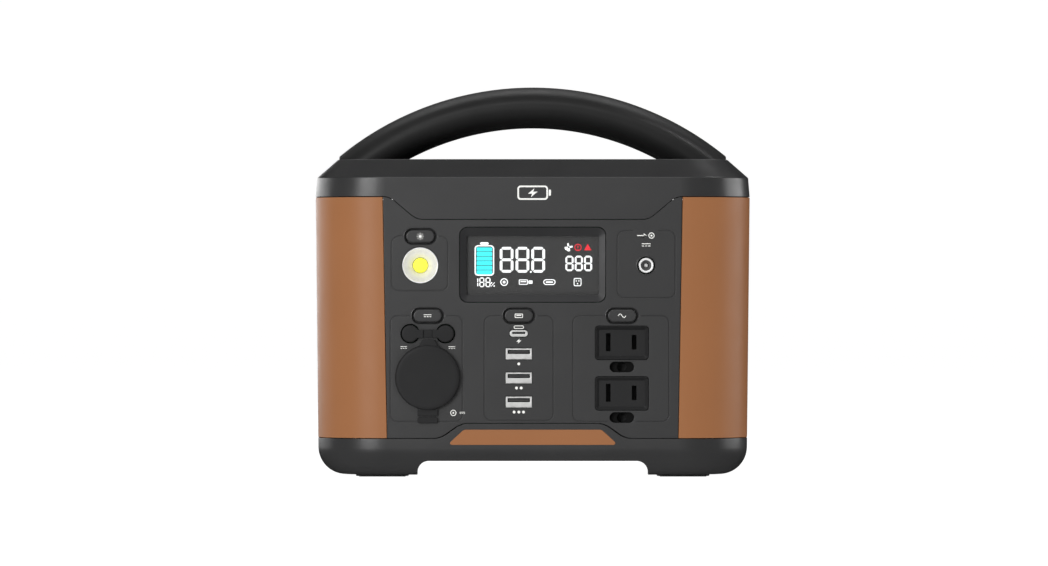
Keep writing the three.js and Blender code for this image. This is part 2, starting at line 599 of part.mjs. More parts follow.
function makeFan() {
  const { x, y, z, size, thick, bore, hub, blades } = FAN;
  const [front, back] = [y - thick / 2, y + thick / 2];
  const frame = plate(roundedRect(size, size, 3, x, z), front, back, 1)
    .subtract(disc(bore, front - 1, back + 1, x, z, 24))
    .add(disc(hub, front, front + 2, x, z, 16))
    .add(box(x - size / 2 + 0.5, x + size / 2 - 0.5, front, front + 2, z - 1.5, z + 1.5))
    .add(box(x - 1.5, x + 1.5, front, front + 2, z - size / 2 + 0.5, z + size / 2 - 0.5));
  add('fan_frame', frame, PLASTIC_BLACK);
  const vanes = [];
  for (let i = 0; i < blades; i += 1) {
    const vane = new THREE.BoxGeometry(1.2, thick - 5.5, bore - 0.8 - hub + 2);
    vane.rotateZ(0.7).translate(0, y + 1.2, (bore - 0.8 + hub - 2) / 2).rotateY((2 * Math.PI * i) / blades);
    vanes.push(solid(vane.translate(x, 0, z)));
  }
  // The vanes turn about the hub's own axis, so they are built on the Y axis and moved with the hub.
  add('fan_rotor', joined([disc(hub, front + 2 + GAP, back - 0.6, x, z, 20), ...vanes]), PLASTIC_BLACK);
}

makeTopCover();
makeBaseTray();
makeSidePanel('left_side_panel', -1);
makeSidePanel('right_side_panel', 1);
makeFrontPanel();
makeRearPanel();
makeHandle();
makeFeetAndScrews();
makeDisplay();
makeLamp();
makeButtons();
makeVehicleSocket();
makeJacks();
makeJackCovers();
makeUsbPorts();
makeOutlets();
makeFrontBoard();
makeBattery();
makePowerBoards();
makeFan();

export default station;
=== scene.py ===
"""Looks of a portable power station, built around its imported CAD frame.

Shapes are worked out in millimetres, in the frame's own axes (+Z up, front facing -Y), and scaled to
metres where a mesh is made. Outlines drawn on the front are lists of (x, z) points.
"""
import json
import math

import bmesh
import bpy
from mathutils import Matrix, Vector


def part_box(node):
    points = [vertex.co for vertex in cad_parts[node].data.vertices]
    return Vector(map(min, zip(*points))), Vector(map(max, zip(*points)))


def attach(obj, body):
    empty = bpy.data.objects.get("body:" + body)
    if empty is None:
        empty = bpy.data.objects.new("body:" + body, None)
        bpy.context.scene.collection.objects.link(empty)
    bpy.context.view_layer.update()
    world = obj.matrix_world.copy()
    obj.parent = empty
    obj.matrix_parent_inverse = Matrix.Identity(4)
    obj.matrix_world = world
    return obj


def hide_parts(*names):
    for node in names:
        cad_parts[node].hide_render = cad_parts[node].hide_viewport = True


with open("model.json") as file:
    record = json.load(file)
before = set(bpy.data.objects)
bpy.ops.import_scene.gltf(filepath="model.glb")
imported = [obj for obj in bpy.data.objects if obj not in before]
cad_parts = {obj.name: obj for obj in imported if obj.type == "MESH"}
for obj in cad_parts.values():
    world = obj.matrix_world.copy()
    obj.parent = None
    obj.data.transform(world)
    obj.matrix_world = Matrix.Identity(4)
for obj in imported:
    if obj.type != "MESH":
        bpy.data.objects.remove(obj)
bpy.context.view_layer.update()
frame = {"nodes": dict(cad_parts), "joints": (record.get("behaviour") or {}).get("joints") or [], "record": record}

MM = 0.001


def span(node):
    """A CAD node's lowest and highest corner, in millimetres."""
    low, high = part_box(node)
    return low / MM, high / MM


def middle(node):
    low, high = span(node)
    return (low + high) / 2


def extent(node):
    """A CAD node's lowest corner, highest corner and middle, in millimetres."""
    low, high = span(node)
    return low, high, (low + high) / 2


# ---- driving sizes, in millimetres

COVER_LOW, COVER_HIGH = span("top_cover")
BASE_LOW, BASE_HIGH = span("base_tray")
SIDE_LOW, SIDE_HIGH = span("left_side_panel")
PANEL_LOW, PANEL_HIGH = span("front_panel")
REAR_LOW, REAR_HIGH = span("rear_panel")

HALF_WIDTH = COVER_HIGH.x
HALF_DEPTH = (SIDE_HIGH.y - SIDE_LOW.y) / 2
MIDDLE_Y = (SIDE_HIGH.y + SIDE_LOW.y) / 2
FRONT_Y = MIDDLE_Y - HALF_DEPTH
PANEL_Y = PANEL_LOW.y
PANEL_BACK = PANEL_HIGH.y
DECK_Z = COVER_HIGH.z
SKID_Z = BASE_LOW.z
BASE_SEAM = SIDE_LOW.z - 0.3
COVER_SEAM = SIDE_HIGH.z + 0.3

CORNER = 33.8
WALL = 2.6
SEAM = 0.24
SHOULDER_DROP = 9.0
DECK_INSET = 9.7
BASE_ROUND = 13.3
SIDE_DRAFT = 0.0001
BROW_DRAFT = 0.00075
LIP = 0.22

BROW = {"root_half": 70.2, "tip_half": 57.0, "root": COVER_SEAM, "tip": COVER_LOW.z}
TONGUE = {"root_half": 45.5, "tip_half": 35.3, "root": BASE_SEAM, "tip": BASE_HIGH.z}
GROOVE = 0.5
GROOVE_DEPTH = 0.3
WELL = (14.8, 7.0)
ARCH_ENDS = ((56.0, -90.0), (58.6, 90.0))  # the underside arch's half width, and where along Y it has it
FEET = ("front_left", "front_right", "rear_left", "rear_right")
KEYS = ("lamp", "dc", "usb", "ac")

# ---- camera and light, in metres

CAMERA_AWAY = 3.9
CAMERA_HEIGHT = 0.09535
CAMERA_LENS = 273.4
CAMERA_SHIFT = -0.0083
LIGHT_AIM = (0, 0, 0.09)
FLOOR_GLOW = 1.0
FLOOR_REACH = 7.0
BACKDROP_BEND = 2.0
BACKDROP_HEIGHT = 8.0

# Each softbox: degrees round from the camera (left is negative), degrees up, distance, width and height in
# metres, brightness of its face, and whether it shows in reflections.
SOFTBOXES = {
    "front_above": (-5, 45, 2.4, 1.8, 1.0, 2.0, True),
    "front_card": (-3, 3, 3.0, 1.0, 0.8, 0.55, True),
    "strip_left": (-29, 9, 2.0, 0.95, 0.70, 7.4, True),
    "side_right": (101, 6, 2.0, 1.50, 0.58, 3.2, True),
    "rear_left": (-138, 6, 2.0, 2.40, 0.58, 2.0, True),
    "kicker_right": (90, 56, 2.0, 0.35, 0.35, 16.0, True),
    "rear_above": (180, 45, 2.4, 1.8, 1.0, 1.0, True),
    "overhead": (0, 90, 2.0, 2.0, 2.0, 0.9, False),
}

# ---- materials


def node_tree(name):
    look = bpy.data.materials.new(name)
    look.use_nodes = True
    tree = look.node_tree
    return look, tree, tree.nodes["Principled BSDF"]


def link(tree, source, output, target, socket):
    tree.links.new(source.outputs[output], target.inputs[socket])


def fill(node, values):
    """Sets a node's sockets that aren't linked."""
    for socket, value in values.items():
        node.inputs[socket].default_value = value


def noise(tree, coords, scale, detail=4.0, rough=0.55):
    node = tree.nodes.new("ShaderNodeTexNoise")
    fill(node, {"Scale": scale, "Detail": detail, "Roughness": rough})
    link(tree, coords, "Object", node, "Vector")
    return node


def spread(tree, source, output, low, high):
    """Turns a texture value into a number between low and high."""
    node = tree.nodes.new("ShaderNodeMapRange")
    fill(node, {"From Min": 0.35, "From Max": 0.65, "To Min": low, "To Max": high})
    link(tree, source, output, node, "Value")
    return node


def blend_colours(tree, factor, output, first, second):
    ramp = tree.nodes.new("ShaderNodeValToRGB")
    ramp.color_ramp.elements[0].color = (*first, 1)
    ramp.color_ramp.elements[1].color = (*second, 1)
    ramp.color_ramp.elements[0].position = 0.3
    ramp.color_ramp.elements[1].position = 0.7
    link(tree, factor, output, ramp, "Fac")
    return ramp


def linear(red, green, blue):
    """A colour given as on a screen, 0 to 255, as the shader's linear values."""
    shares = (red / 255, green / 255, blue / 255)
    return tuple(((c + 0.055) / 1.055) ** 2.4 if c > 0.04 else c / 12.92 for c in shares)


def moulded(name, colour, rough, grain=0.25, grain_size=0.35, shade=0.12, specular=0.5):
    """Moulded plastic or rubber: fine spark-eroded grain, a slow drift of tone and patchy handling gloss.

    grain_size is the pitch of the grain in millimetres."""
    look, tree, shader = node_tree(name)
    coords = tree.nodes.new("ShaderNodeTexCoord")
    drift = noise(tree, coords, 22, 3)
    dark = tuple(c * (1 - shade) for c in colour)
    light = tuple(min(1, c * (1 + shade)) for c in colour)
    tone = blend_colours(tree, drift, "Fac", dark, light)
    link(tree, tone, "Color", shader, "Base Color")
    patches = noise(tree, coords, 60, 5, 0.6)
    gloss = spread(tree, patches, "Fac", rough - 0.03, rough + 0.05)
    link(tree, gloss, "Result", shader, "Roughness")
    fine = noise(tree, coords, 1 / (grain_size * MM), 3, 0.6)
    bump = tree.nodes.new("ShaderNodeBump")
    fill(bump, {"Strength": grain, "Distance": 0.04 * MM})
    link(tree, fine, "Fac", bump, "Height")
    link(tree, bump, "Normal", shader, "Normal")
    shader.inputs["Specular IOR Level"].default_value = specular
    return look


def metal(name, colour, rough, scratch=0.2, metallic=1.0):
    """Plated or bare metal with fine directional scratches."""
    look, tree, shader = node_tree(name)
    coords = tree.nodes.new("ShaderNodeTexCoord")
    mapping = tree.nodes.new("ShaderNodeMapping")
    mapping.inputs["Scale"].default_value = (1, 30, 1)
    link(tree, coords, "Object", mapping, "Vector")
    lines = tree.nodes.new("ShaderNodeTexNoise")
    fill(lines, {"Scale": 300, "Detail": 4})
    link(tree, mapping, "Vector", lines, "Vector")
    tone = blend_colours(tree, lines, "Fac", tuple(c * 0.85 for c in colour), colour)
    link(tree, tone, "Color", shader, "Base Color")
    gloss = spread(tree, lines, "Fac", rough - 0.06, rough + 0.08)
    link(tree, gloss, "Result", shader, "Roughness")
    bump = tree.nodes.new("ShaderNodeBump")
    fill(bump, {"Strength": scratch, "Distance": 0.01 * MM})
    link(tree, lines, "Fac", bump, "Height")
    link(tree, bump, "Normal", shader, "Normal")
    shader.inputs["Metallic"].default_value = metallic
    return look


def clear(name, tint, alpha):
    """A clear moulded window: dark where it doesn't reflect, with faint unevenness in its gloss."""
    look, tree, shader = node_tree(name)
    coords = tree.nodes.new("ShaderNodeTexCoord")
    smear = noise(tree, coords, 45, 3)
    gloss = spread(tree, smear, "Fac", 0.05, 0.12)
    link(tree, gloss, "Result", shader, "Roughness")
    fill(shader, {"Base Color": (*tint, 1), "Alpha": alpha})
    return look


def glowing(name, colour, strength, texture_scale=900):
    """A lit segment or emitter, with the slight mottling of its diffuser."""
    look, tree, shader = node_tree(name)
    coords = tree.nodes.new("ShaderNodeTexCoord")
    mottle = noise(tree, coords, texture_scale, 2)
    tone = blend_colours(tree, mottle, "Fac", tuple(c * 0.94 for c in colour), colour)
    link(tree, tone, "Color", shader, "Base Color")
    link(tree, tone, "Color", shader, "Emission Color")
    fill(shader, {"Emission Strength": strength, "Roughness": 0.5})
    return look


CHARCOAL = moulded("charcoal_plastic", (0.032, 0.032, 0.0325), 0.31, grain=0.2, shade=0.03, specular=0.5)
# A darker copy of the charcoal plastic: painted shade for the display's recessed bezel.
CHARCOAL_PAINTED_SHADE = moulded("charcoal_plastic_painted_shade", (0.024, 0.024, 0.025), 0.4, grain=0.2, specular=0.3)
HANDLE_BLACK = moulded("handle_plastic", (0.021, 0.021, 0.021), 0.40, grain=0.06, grain_size=0.5,
                       specular=0.16)
BLACK = moulded("black_plastic", (0.014, 0.014, 0.0145), 0.5, grain=0.15, specular=0.3)
# Near-black with no gloss: painted shade, used as a dark sheet in the flat ports' slots and as the colour of the
# outlets' ground pockets.
PAINTED_SHADE_BLACK = moulded("painted_shade_black", (0.006, 0.006, 0.006), 0.7, grain=0.1, specular=0.1)
BROWN = moulded("copper_brown_plastic", (0.300, 0.126, 0.052), 0.36, grain=0.15, grain_size=0.28, shade=0.02,
                specular=0.16)
RUBBER = moulded("soft_rubber", (0.017, 0.017, 0.0175), 0.6, grain=0.3, grain_size=0.45, specular=0.2)
LCD_GREY = moulded("lcd_backing", linear(64, 64, 64), 0.5, grain=0.02, shade=0.03)
PRINT_WHITE = moulded("white_print", linear(236, 236, 232), 0.6, grain=0.15, grain_size=0.2, shade=0.03)
WRAP = moulded("cell_wrap", linear(46, 104, 160), 0.35, grain=0.1, shade=0.1)
LAMINATE = moulded("circuit_laminate", linear(22, 88, 52), 0.45, grain=0.2, shade=0.2)
NICKEL = metal("nickel_plate", (0.74, 0.74, 0.73), 0.40, metallic=0.5)
REFLECTOR = metal("reflector_silver", (0.92, 0.92, 0.92), 0.36, scratch=0.02, metallic=0.25)
CHROME = metal("bright_chrome", (0.95, 0.95, 0.95), 0.45, scratch=0.05, metallic=0.25)
COPPER = metal("lacquered_copper", (0.72, 0.36, 0.18), 0.35)
ALUMINIUM = metal("extruded_aluminium", (0.62, 0.64, 0.66), 0.38)
WINDOW = clear("display_window", (0.02, 0.02, 0.02), 0.10)
LENS = clear("lamp_lens", (0.6, 0.6, 0.6), 0.04)
LIT_WHITE = glowing("lit_white", (0.93, 0.95, 0.95), 0.85)
LIT_CYAN = glowing("lit_cyan", linear(60, 240, 245), 0.75)
LIT_RED = glowing("lit_red", linear(225, 40, 52), 0.7)
PHOSPHOR = glowing("phosphor_yellow", (0.93, 0.90, 0.02), 0.35, 1500)

SLOTS = {s["node"]: s["material_slot"] for s in frame["record"]["subparts"]}
SLOT_LOOKS = {
    "dark_plastic": CHARCOAL,
    "black_plastic": BLACK,
    "brown_plastic": BROWN,
    "soft_rubber": RUBBER,
    "steel": NICKEL,
    "copper": COPPER,
    "display_glass": WINDOW,
    "reflector": REFLECTOR,
    "emitter": PHOSPHOR,
    "circuit_board": LAMINATE,
    "cell_wrap": WRAP,
    "aluminium": ALUMINIUM,
}

# ---- outlines


def arc(x, z, radius, start, end, steps):
    turn = [math.radians(start + (end - start) * i / steps) for i in range(steps + 1)]
    return [(x + radius * math.cos(t), z + radius * math.sin(t)) for t in turn]


def rounded_rect(width, height, radius, x=0.0, z=0.0, steps=8):
    w, h = width / 2 - radius, height / 2 - radius
    places = [(w, h, 0), (-w, h, 90), (-w, -h, 180), (w, -h, 270)]
    points = []
    for dx, dz, start in places:
        points += arc(x + dx, z + dz, radius, start, start + 90, steps)
    return points


def pill(width, height, x=0.0, z=0.0, steps=14):
    return rounded_rect(width, height, height / 2 - 0.01, x, z, steps)


def circle(radius, x=0.0, z=0.0, steps=72):
    return arc(x, z, radius, 0, 360, steps)[:-1]


def bar(x0, z0, x1, z1, width):
    """A straight stroke with square ends."""
    run = Vector((x1 - x0, z1 - z0)).normalized() * width / 2
    return [
        (x0 + run.y, z0 - run.x), (x1 + run.y, z1 - run.x),
        (x1 - run.y, z1 + run.x), (x0 - run.y, z0 + run.x),
    ]


def ribbon(path, width):
    """The outline of a line of that width along a path of points."""
    left, right = [], []
    for i, (x, z) in enumerate(path):
        before = Vector(path[max(i - 1, 0)])
        after = Vector(path[min(i + 1, len(path) - 1)])
        run = (after - before).normalized() * width / 2
        left.append((x - run.y, z + run.x))
        right.append((x + run.y, z - run.x))
    return left + right[::-1]


def signed_area(points):
    following = points[1:] + points[:1]
    return sum(a[0] * b[1] - b[0] * a[1] for a, b in zip(points, following)) / 2


def soft_min(a, b, reach):
    h = max(reach - abs(a - b), 0) / reach
    return min(a, b) - h * h * reach / 4


def tab_edge(tab, x):
    """Height of the edge of a tab that reaches over the front panel, with rounded bends."""
    rise = 1 if tab["tip"] > tab["root"] else -1
    height = abs(tab["tip"] - tab["root"])
    slope = height * (tab["root_half"] - abs(x)) / (tab["root_half"] - tab["tip_half"])
    low = -soft_min(0, -slope, 2.6)
    return tab["root"] + rise * min(soft_min(low, height, 2.6), height)


# ---- meshes


def piece(name, bm, look, slot, body="station", replaced=(), angle=38, weighted=True):
    """Turns a bmesh in millimetres into a named object that rides on a body."""
    bmesh.ops.remove_doubles(bm, verts=bm.verts, dist=0.0015)
    bmesh.ops.dissolve_degenerate(bm, edges=bm.edges, dist=0.0005)
    bmesh.ops.recalc_face_normals(bm, faces=bm.faces)
    bmesh.ops.scale(bm, vec=(MM, MM, MM), verts=bm.verts)
    for face in bm.faces:
        face.smooth = True
    mesh = bpy.data.meshes.new(name)
    bm.to_mesh(mesh)
    bm.free()
    mesh.set_sharp_from_angle(angle=math.radians(angle))
    mesh.materials.append(look)
    obj = bpy.data.objects.new(name, mesh)
    bpy.context.scene.collection.objects.link(obj)
    if weighted:
        weights = obj.modifiers.new("weighted normals", "WEIGHTED_NORMAL")
        weights.keep_sharp = True
        weights.weight = 80
    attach(obj, body)
    if replaced:
        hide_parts(*replaced)
    return obj


def skin(node, bm, look, **kwargs):
    """The piece that stands in for a CAD node, which it hides."""
    return piece(f"{node}_skin", bm, look, SLOTS[node], replaced=[node], **kwargs)


def add_loft(bm, loops, caps=True):
    """Skins a row of closed loops with the same number of points."""
    rows = [[bm.verts.new(point) for point in loop] for loop in loops]
    for first, second in zip(rows, rows[1:]):
        for i in range(len(first)):
            j = (i + 1) % len(first)
            bm.faces.new((first[i], first[j], second[j], second[i]))
    if caps:
        bm.faces.new(rows[0])
        bm.faces.new(rows[-1][::-1])


def add_turned(bm, profile, x, z, steps=72, closed=False):
    """Revolves (radius, y) points about the line through (x, z) along Y."""
    rows = []
    for radius, y in profile:
        if radius < 1e-6:
            rows.append([bm.verts.new((x, y, z))])
        else:
            rows.append([bm.verts.new((x + dx, y, z + dz)) for dx, dz in circle(radius, 0, 0, steps)])
    pairs = list(zip(rows, rows[1:]))
    if closed:
        pairs.append((rows[-1], rows[0]))
    for first, second in pairs:
        for i in range(steps):
            j = (i + 1) % steps
            if len(first) == 1 and len(second) > 1:
                bm.faces.new((first[0], second[j], second[i]))
            elif len(second) == 1 and len(first) > 1:
                bm.faces.new((first[i], first[j], second[0]))
            elif len(first) > 1:
                bm.faces.new((first[i], first[j], second[j], second[i]))


def add_plate(bm, outer, holes, front, back, edge=0.15, steps=2):
    """A plate facing the front, cut out along outlines, with its edges rounded over."""
    curve = bpy.data.curves.new("outline", "CURVE")
    curve.dimensions = "2D"
    curve.fill_mode = "BOTH"
    curve.extrude = (back - front) / 2 - edge
    curve.bevel_depth = edge
    curve.bevel_resolution = steps
    curve.offset = -edge
    outers = outer if isinstance(outer[0], list) else [outer]
    for points, turn in [(o, 1) for o in outers] + [(h, -1) for h in holes]:
        run = points if signed_area(points) * turn > 0 else points[::-1]
        spline = curve.splines.new("POLY")
        spline.points.add(len(run) - 1)
        for place, (x, z) in zip(spline.points, run):
            place.co = (x, z, 0, 1)
        spline.use_cyclic_u = True
    holder = bpy.data.objects.new("outline", curve)
    bpy.context.scene.collection.objects.link(holder)
    filled = bpy.data.meshes.new_from_object(holder.evaluated_get(bpy.context.evaluated_depsgraph_get()))
    turned = Matrix.Translation((0, (front + back) / 2, 0)) @ Matrix.Rotation(math.pi / 2, 4, "X")
    filled.transform(turned)
    bm.from_mesh(filled)
    bpy.data.objects.remove(holder)
    bpy.data.curves.remove(curve)
    bpy.data.meshes.remove(filled)


def add_funnel(bm, outline, profile):
    """Skins copies of an outline: outline(grow) gives its points, and profile is a row of (grow, y)."""
    loops = [[(x, y, z) for x, z in outline(grow)] for grow, y in profile]
    add_loft(bm, loops, caps=False)


def layers(outline, heights):
    """Copies of an outline of (x, y) points, one at each height."""
    return [[(x, y, z) for x, y in outline] for z in heights]


def solid(loops):
    """A closed bmesh skinned over loops."""
    bm = bmesh.new()
    add_loft(bm, loops)
    bmesh.ops.recalc_face_normals(bm, faces=bm.faces)
    return bm


def add_box(bm, x0, x1, y0, y1, z0, z1):
    made = bmesh.ops.create_cube(bm, size=1)
    size = Matrix.Diagonal((x1 - x0, y1 - y0, z1 - z0, 1))
    place = Matrix.Translation(((x0 + x1) / 2, (y0 + y1) / 2, (z0 + z1) / 2))
    bmesh.ops.transform(bm, matrix=place @ size, verts=made["verts"])


def plate(name, outer, holes, front, back, look, slot, edge=0.15, steps=2, **kwargs):
    """A piece that is one plate."""
    bm = bmesh.new()
    add_plate(bm, outer, holes, front, back, edge, steps)
    return piece(name, bm, look, slot, **kwargs)


def turned(name, profile, mid, look, slot, steps=64, closed=False, **kwargs):
    """A piece that is one revolved profile."""
    bm = bmesh.new()
    add_turned(bm, profile, mid.x, mid.z, steps, closed)
    return piece(name, bm, look, slot, **kwargs)


# ---- case shells


def case_stations(front_step=1.0, corner_steps=22):
    """Points round the case's outline with their outward directions, anticlockwise from the front left."""
    w, d = HALF_WIDTH - CORNER, HALF_DEPTH - CORNER
    stations = []

    def edge(start, end, normal, count):
        for i in range(count):
            t = i / count
            stations.append((start[0] + (end[0] - start[0]) * t, start[1] + (end[1] - start[1]) * t, *normal))

    def bend(x, y, start):
        for i in range(corner_steps):
            t = math.radians(start + 90 * i / corner_steps)
            stations.append((x + CORNER * math.cos(t), y + CORNER * math.sin(t), math.cos(t), math.sin(t)))

    edge((-w, -HALF_DEPTH), (w, -HALF_DEPTH), (0, -1), round(2 * w / front_step))
    bend(w, -d, -90)
    edge((HALF_WIDTH, -d), (HALF_WIDTH, d), (1, 0), 8)
    bend(w, d, 0)
    edge((w, HALF_DEPTH), (-w, HALF_DEPTH), (0, 1), 12)
    bend(-w, d, 90)
    edge((-HALF_WIDTH, d), (-HALF_WIDTH, -d), (-1, 0), 8)
    bend(-w, -d, 180)
    return stations


def at(station, inset, z):
    x, y, nx, ny = station
    rise = z - COVER_SEAM
    lean = 1 - (BROW_DRAFT * rise if rise > 0 else -SIDE_DRAFT * rise)
    return ((x - nx * inset) * lean, y - ny * inset + MIDDLE_Y, z)


def on_front(station):
    return station[3] < -0.999


def seam_row(stations, inset, tab, rise):
    """Points along a tab's edge on the front, and along its root on the other faces."""
    return [at(s, inset, (tab_edge(tab, s[0]) if on_front(s) else tab["root"]) + rise) for s in stations]


def fillet(before, corner, after, radius, steps=5):
    """Points that round a corner of a profile of (inset, z) points."""
    a, b, c = Vector(before), Vector(corner), Vector(after)
    first, second = (a - b).normalized(), (c - b).normalized()
    half = first.angle(second) / 2
    reach = radius / math.tan(half)
    start, end = b + first * reach, b + second * reach
    centre = b + (first + second).normalized() * radius / math.sin(half)
    points = []
    for i in range(steps + 1):
        way = (start - centre).lerp(end - centre, i / steps).normalized() * radius
        points.append(tuple(centre + way))
    return points


def make_top_cover():
    stations = case_stations()
    shoulder = DECK_Z - SHOULDER_DROP
    upper = fillet((0, shoulder - 20), (0, shoulder), (DECK_INSET, DECK_Z), 0.9)
    upper += fillet((0, shoulder), (DECK_INSET, DECK_Z), (DECK_INSET + 20, DECK_Z), 0.9)
    upper += [(DECK_INSET + 8, DECK_Z), (30, DECK_Z)]
    lip = [(WALL, LIP), (LIP, 0), (LIP * 0.3, LIP * 0.3), (0, LIP), (0, 6)]
    loops = [[at(s, WALL, DECK_Z - 14) for s in stations]]
    loops += [seam_row(stations, inset, BROW, rise) for inset, rise in lip]
    loops += [[at(s, inset, z) for s in stations] for inset, z in upper]
    bm = bmesh.new()
    add_loft(bm, loops)
    skin("top_cover", bm, CHARCOAL)


def base_block():
    stations = case_stations()
    centre = SKID_Z + BASE_ROUND
    loops = [[at(s, WALL, centre - 0.4) for s in stations]]
    lip = [(WALL, LIP), (LIP, 0), (LIP * 0.3, LIP * 0.3), (0, LIP)]
    loops += [seam_row(stations, inset, TONGUE, -drop) for inset, drop in lip]
    for i in range(15):
        t = math.radians(90 * i / 14)
        z = centre - BASE_ROUND * math.sin(t)
        loops.append([at(s, BASE_ROUND * (1 - math.cos(t)), z) for s in stations])
    return solid(loops)


def arch_outline(half):
    """The gap between the skids: rounded where its walls meet the roof and where they meet the skids."""
    roof, floor, turn, flare = 8.1, SKID_Z, 5.4, 0.6
    left = arc(-half - flare, floor + flare, flare, -90, 0, 6)
    left += arc(-half + turn, roof - turn, turn, 180, 90, 12)
    right = [(-x, z) for x, z in reversed(left)]
    return [(-half - flare - 0.01, -6)] + left + right + [(half + flare + 0.01, -6)]


def temporary(name, bm):
    mesh = bpy.data.meshes.new(name)
    bm.to_mesh(mesh)
    bm.free()
    obj = bpy.data.objects.new(name, mesh)
    bpy.context.scene.collection.objects.link(obj)
    return obj


def cut(bm, cutters):
    """Subtracts each cutter's bmesh from a solid bmesh and gives back the result."""
    body = temporary("cut_body", bm)
    tools = [temporary("cut_tool", tool) for tool in cutters]
    for tool in tools:
        step = body.modifiers.new("cut", "BOOLEAN")
        step.operation = "DIFFERENCE"
        step.solver = "EXACT"
        step.object = tool
    done = bpy.data.meshes.new_from_object(body.evaluated_get(bpy.context.evaluated_depsgraph_get()))
    result = bmesh.new()
    result.from_mesh(done)
    for obj in [body] + tools:
        bpy.data.objects.remove(obj)
    bpy.data.meshes.remove(done)
    return result


def make_base():
    cutters = [solid([[(x, y, z) for x, z in arch_outline(half)] for half, y in ARCH_ENDS])]
    for end in FEET:
        low, high, mid = extent(f"foot_{end}")
        pocket = rounded_rect(high.x - low.x + 0.8, high.y - low.y + 0.8, 3.4, mid.x, mid.y, 6)
        screw = middle(f"case_screw_{end}")
        cutters.append(solid(layers(pocket, (-3.0, SKID_Z + 1.0))))
        cutters.append(solid(layers(circle(3.7, screw.x, screw.y, 32), (-3.0, SKID_Z + 4.0))))
    body = cut(base_block(), cutters)
    piece("base_skin", body, CHARCOAL, "dark_plastic", replaced=["base_tray"], angle=32)


def panel_edge(z):
    """Half width of the front and rear panels at a height: their sides lean in toward the base."""
    return 73.35 - 1.95 * (133 - z) / 111


def make_side_panel(name, side):
    """A wall that wraps both upright corners, with every edge broken."""
    low, high, r = SIDE_LOW.z, SIDE_HIGH.z, LIP
    rim = [(WALL, low), (r, low), (r * 0.3, low + r * 0.3), (0, low + r)]
    rim += [(0, low + (high - low) * i / 6) for i in range(1, 6)]
    rim += [(0, high - r), (r * 0.3, high - r * 0.3), (r, high), (WALL, high)]

    def edge_loop(end, out, sink):
        return [(side * (panel_edge(z) + SEAM / 2 + out), end * (HALF_DEPTH - max(inset, sink)) + MIDDLE_Y, z)
                for inset, z in rim]

    w, d = HALF_WIDTH - CORNER, HALF_DEPTH - CORNER
    turns = [math.radians(90 * i / 28) for i in range(1, 29)]
    path = [(w + CORNER * math.sin(t), -d - CORNER * math.cos(t), math.sin(t), -math.cos(t)) for t in turns]
    path += [(HALF_WIDTH, -d + 2 * d * i / 8, 1, 0) for i in range(1, 9)]
    path += [(w + CORNER * math.cos(t), d + CORNER * math.sin(t), math.cos(t), math.sin(t)) for t in turns]
    walls = [[at((side * x, y, side * nx, ny), inset, z) for inset, z in rim] for x, y, nx, ny in path]
    loops = [edge_loop(-1, 0, 0.25), edge_loop(-1, 0.25, 0)] + walls
    loops += [edge_loop(1, 0.25, 0), edge_loop(1, 0, 0.25)]
    bm = bmesh.new()
    add_loft(bm, loops)
    piece(f"{name}_skin", bm, BROWN, "brown_plastic", replaced=[name])


# ---- panels

GROUPS = {
    "lamp": (-69.2, -41.6, 91.6, 118.2),
    "input": (41.5, 69.9, 88.1, 121.0),
    "dc": (-69.7, -34.4, 27.4, 79.3),
    "usb": (-23.7, 10.1, 27.9, 79.3),
    "ac": (19.7, 66.8, 27.4, 79.3),
}


def panel_outline():
    """The front panel's edge, between the base's tongue and the cover's brow."""
    bottom, top = panel_edge(BASE_SEAM) - SEAM / 2, panel_edge(COVER_SEAM) - SEAM / 2
    steps = [2 * i / 240 - 1 for i in range(241)]
    lower = [(bottom * t, tab_edge(TONGUE, bottom * t) + SEAM) for t in steps]
    upper = [(top * t, tab_edge(BROW, top * t) - SEAM) for t in reversed(steps)]
    return lower + upper


def group_path(box, top_gap, bottom_gap=None, radius=3.6):
    """The line round a group of ports, open where a button or a pocket interrupts it."""
    left, right, bottom, top = box
    right_side = [(top_gap[1], top)] + arc(right - radius, top - radius, radius, 90, 0, 8)
    left_side = arc(left + radius, top - radius, radius, 180, 90, 8) + [(top_gap[0], top)]
    low_right = arc(right - radius, bottom + radius, radius, 0, -90, 8)
    low_left = arc(left + radius, bottom + radius, radius, -90, -180, 8)
    if bottom_gap is None:
        return [right_side + low_right + low_left + left_side]
    return [right_side + low_right + [(bottom_gap[1], bottom)],
            [(bottom_gap[0], bottom)] + low_left + left_side]


def groove_paths():
    paths = []
    for name, box in GROUPS.items():
        if name == "input":
            gap = (box[0] + 8.0, box[1] - 8.0)
        else:
            reach = WELL[0] / 2 + 2.0
            x = middle(f"{name}_button").x
            gap = (x - reach, x + reach)
        bottom = None
        if name == "ac":
            x = middle("ac_outlet_lower").x
            bottom = (x - 7.4, x + 7.4)
        paths += group_path(box, gap, bottom)
    return paths


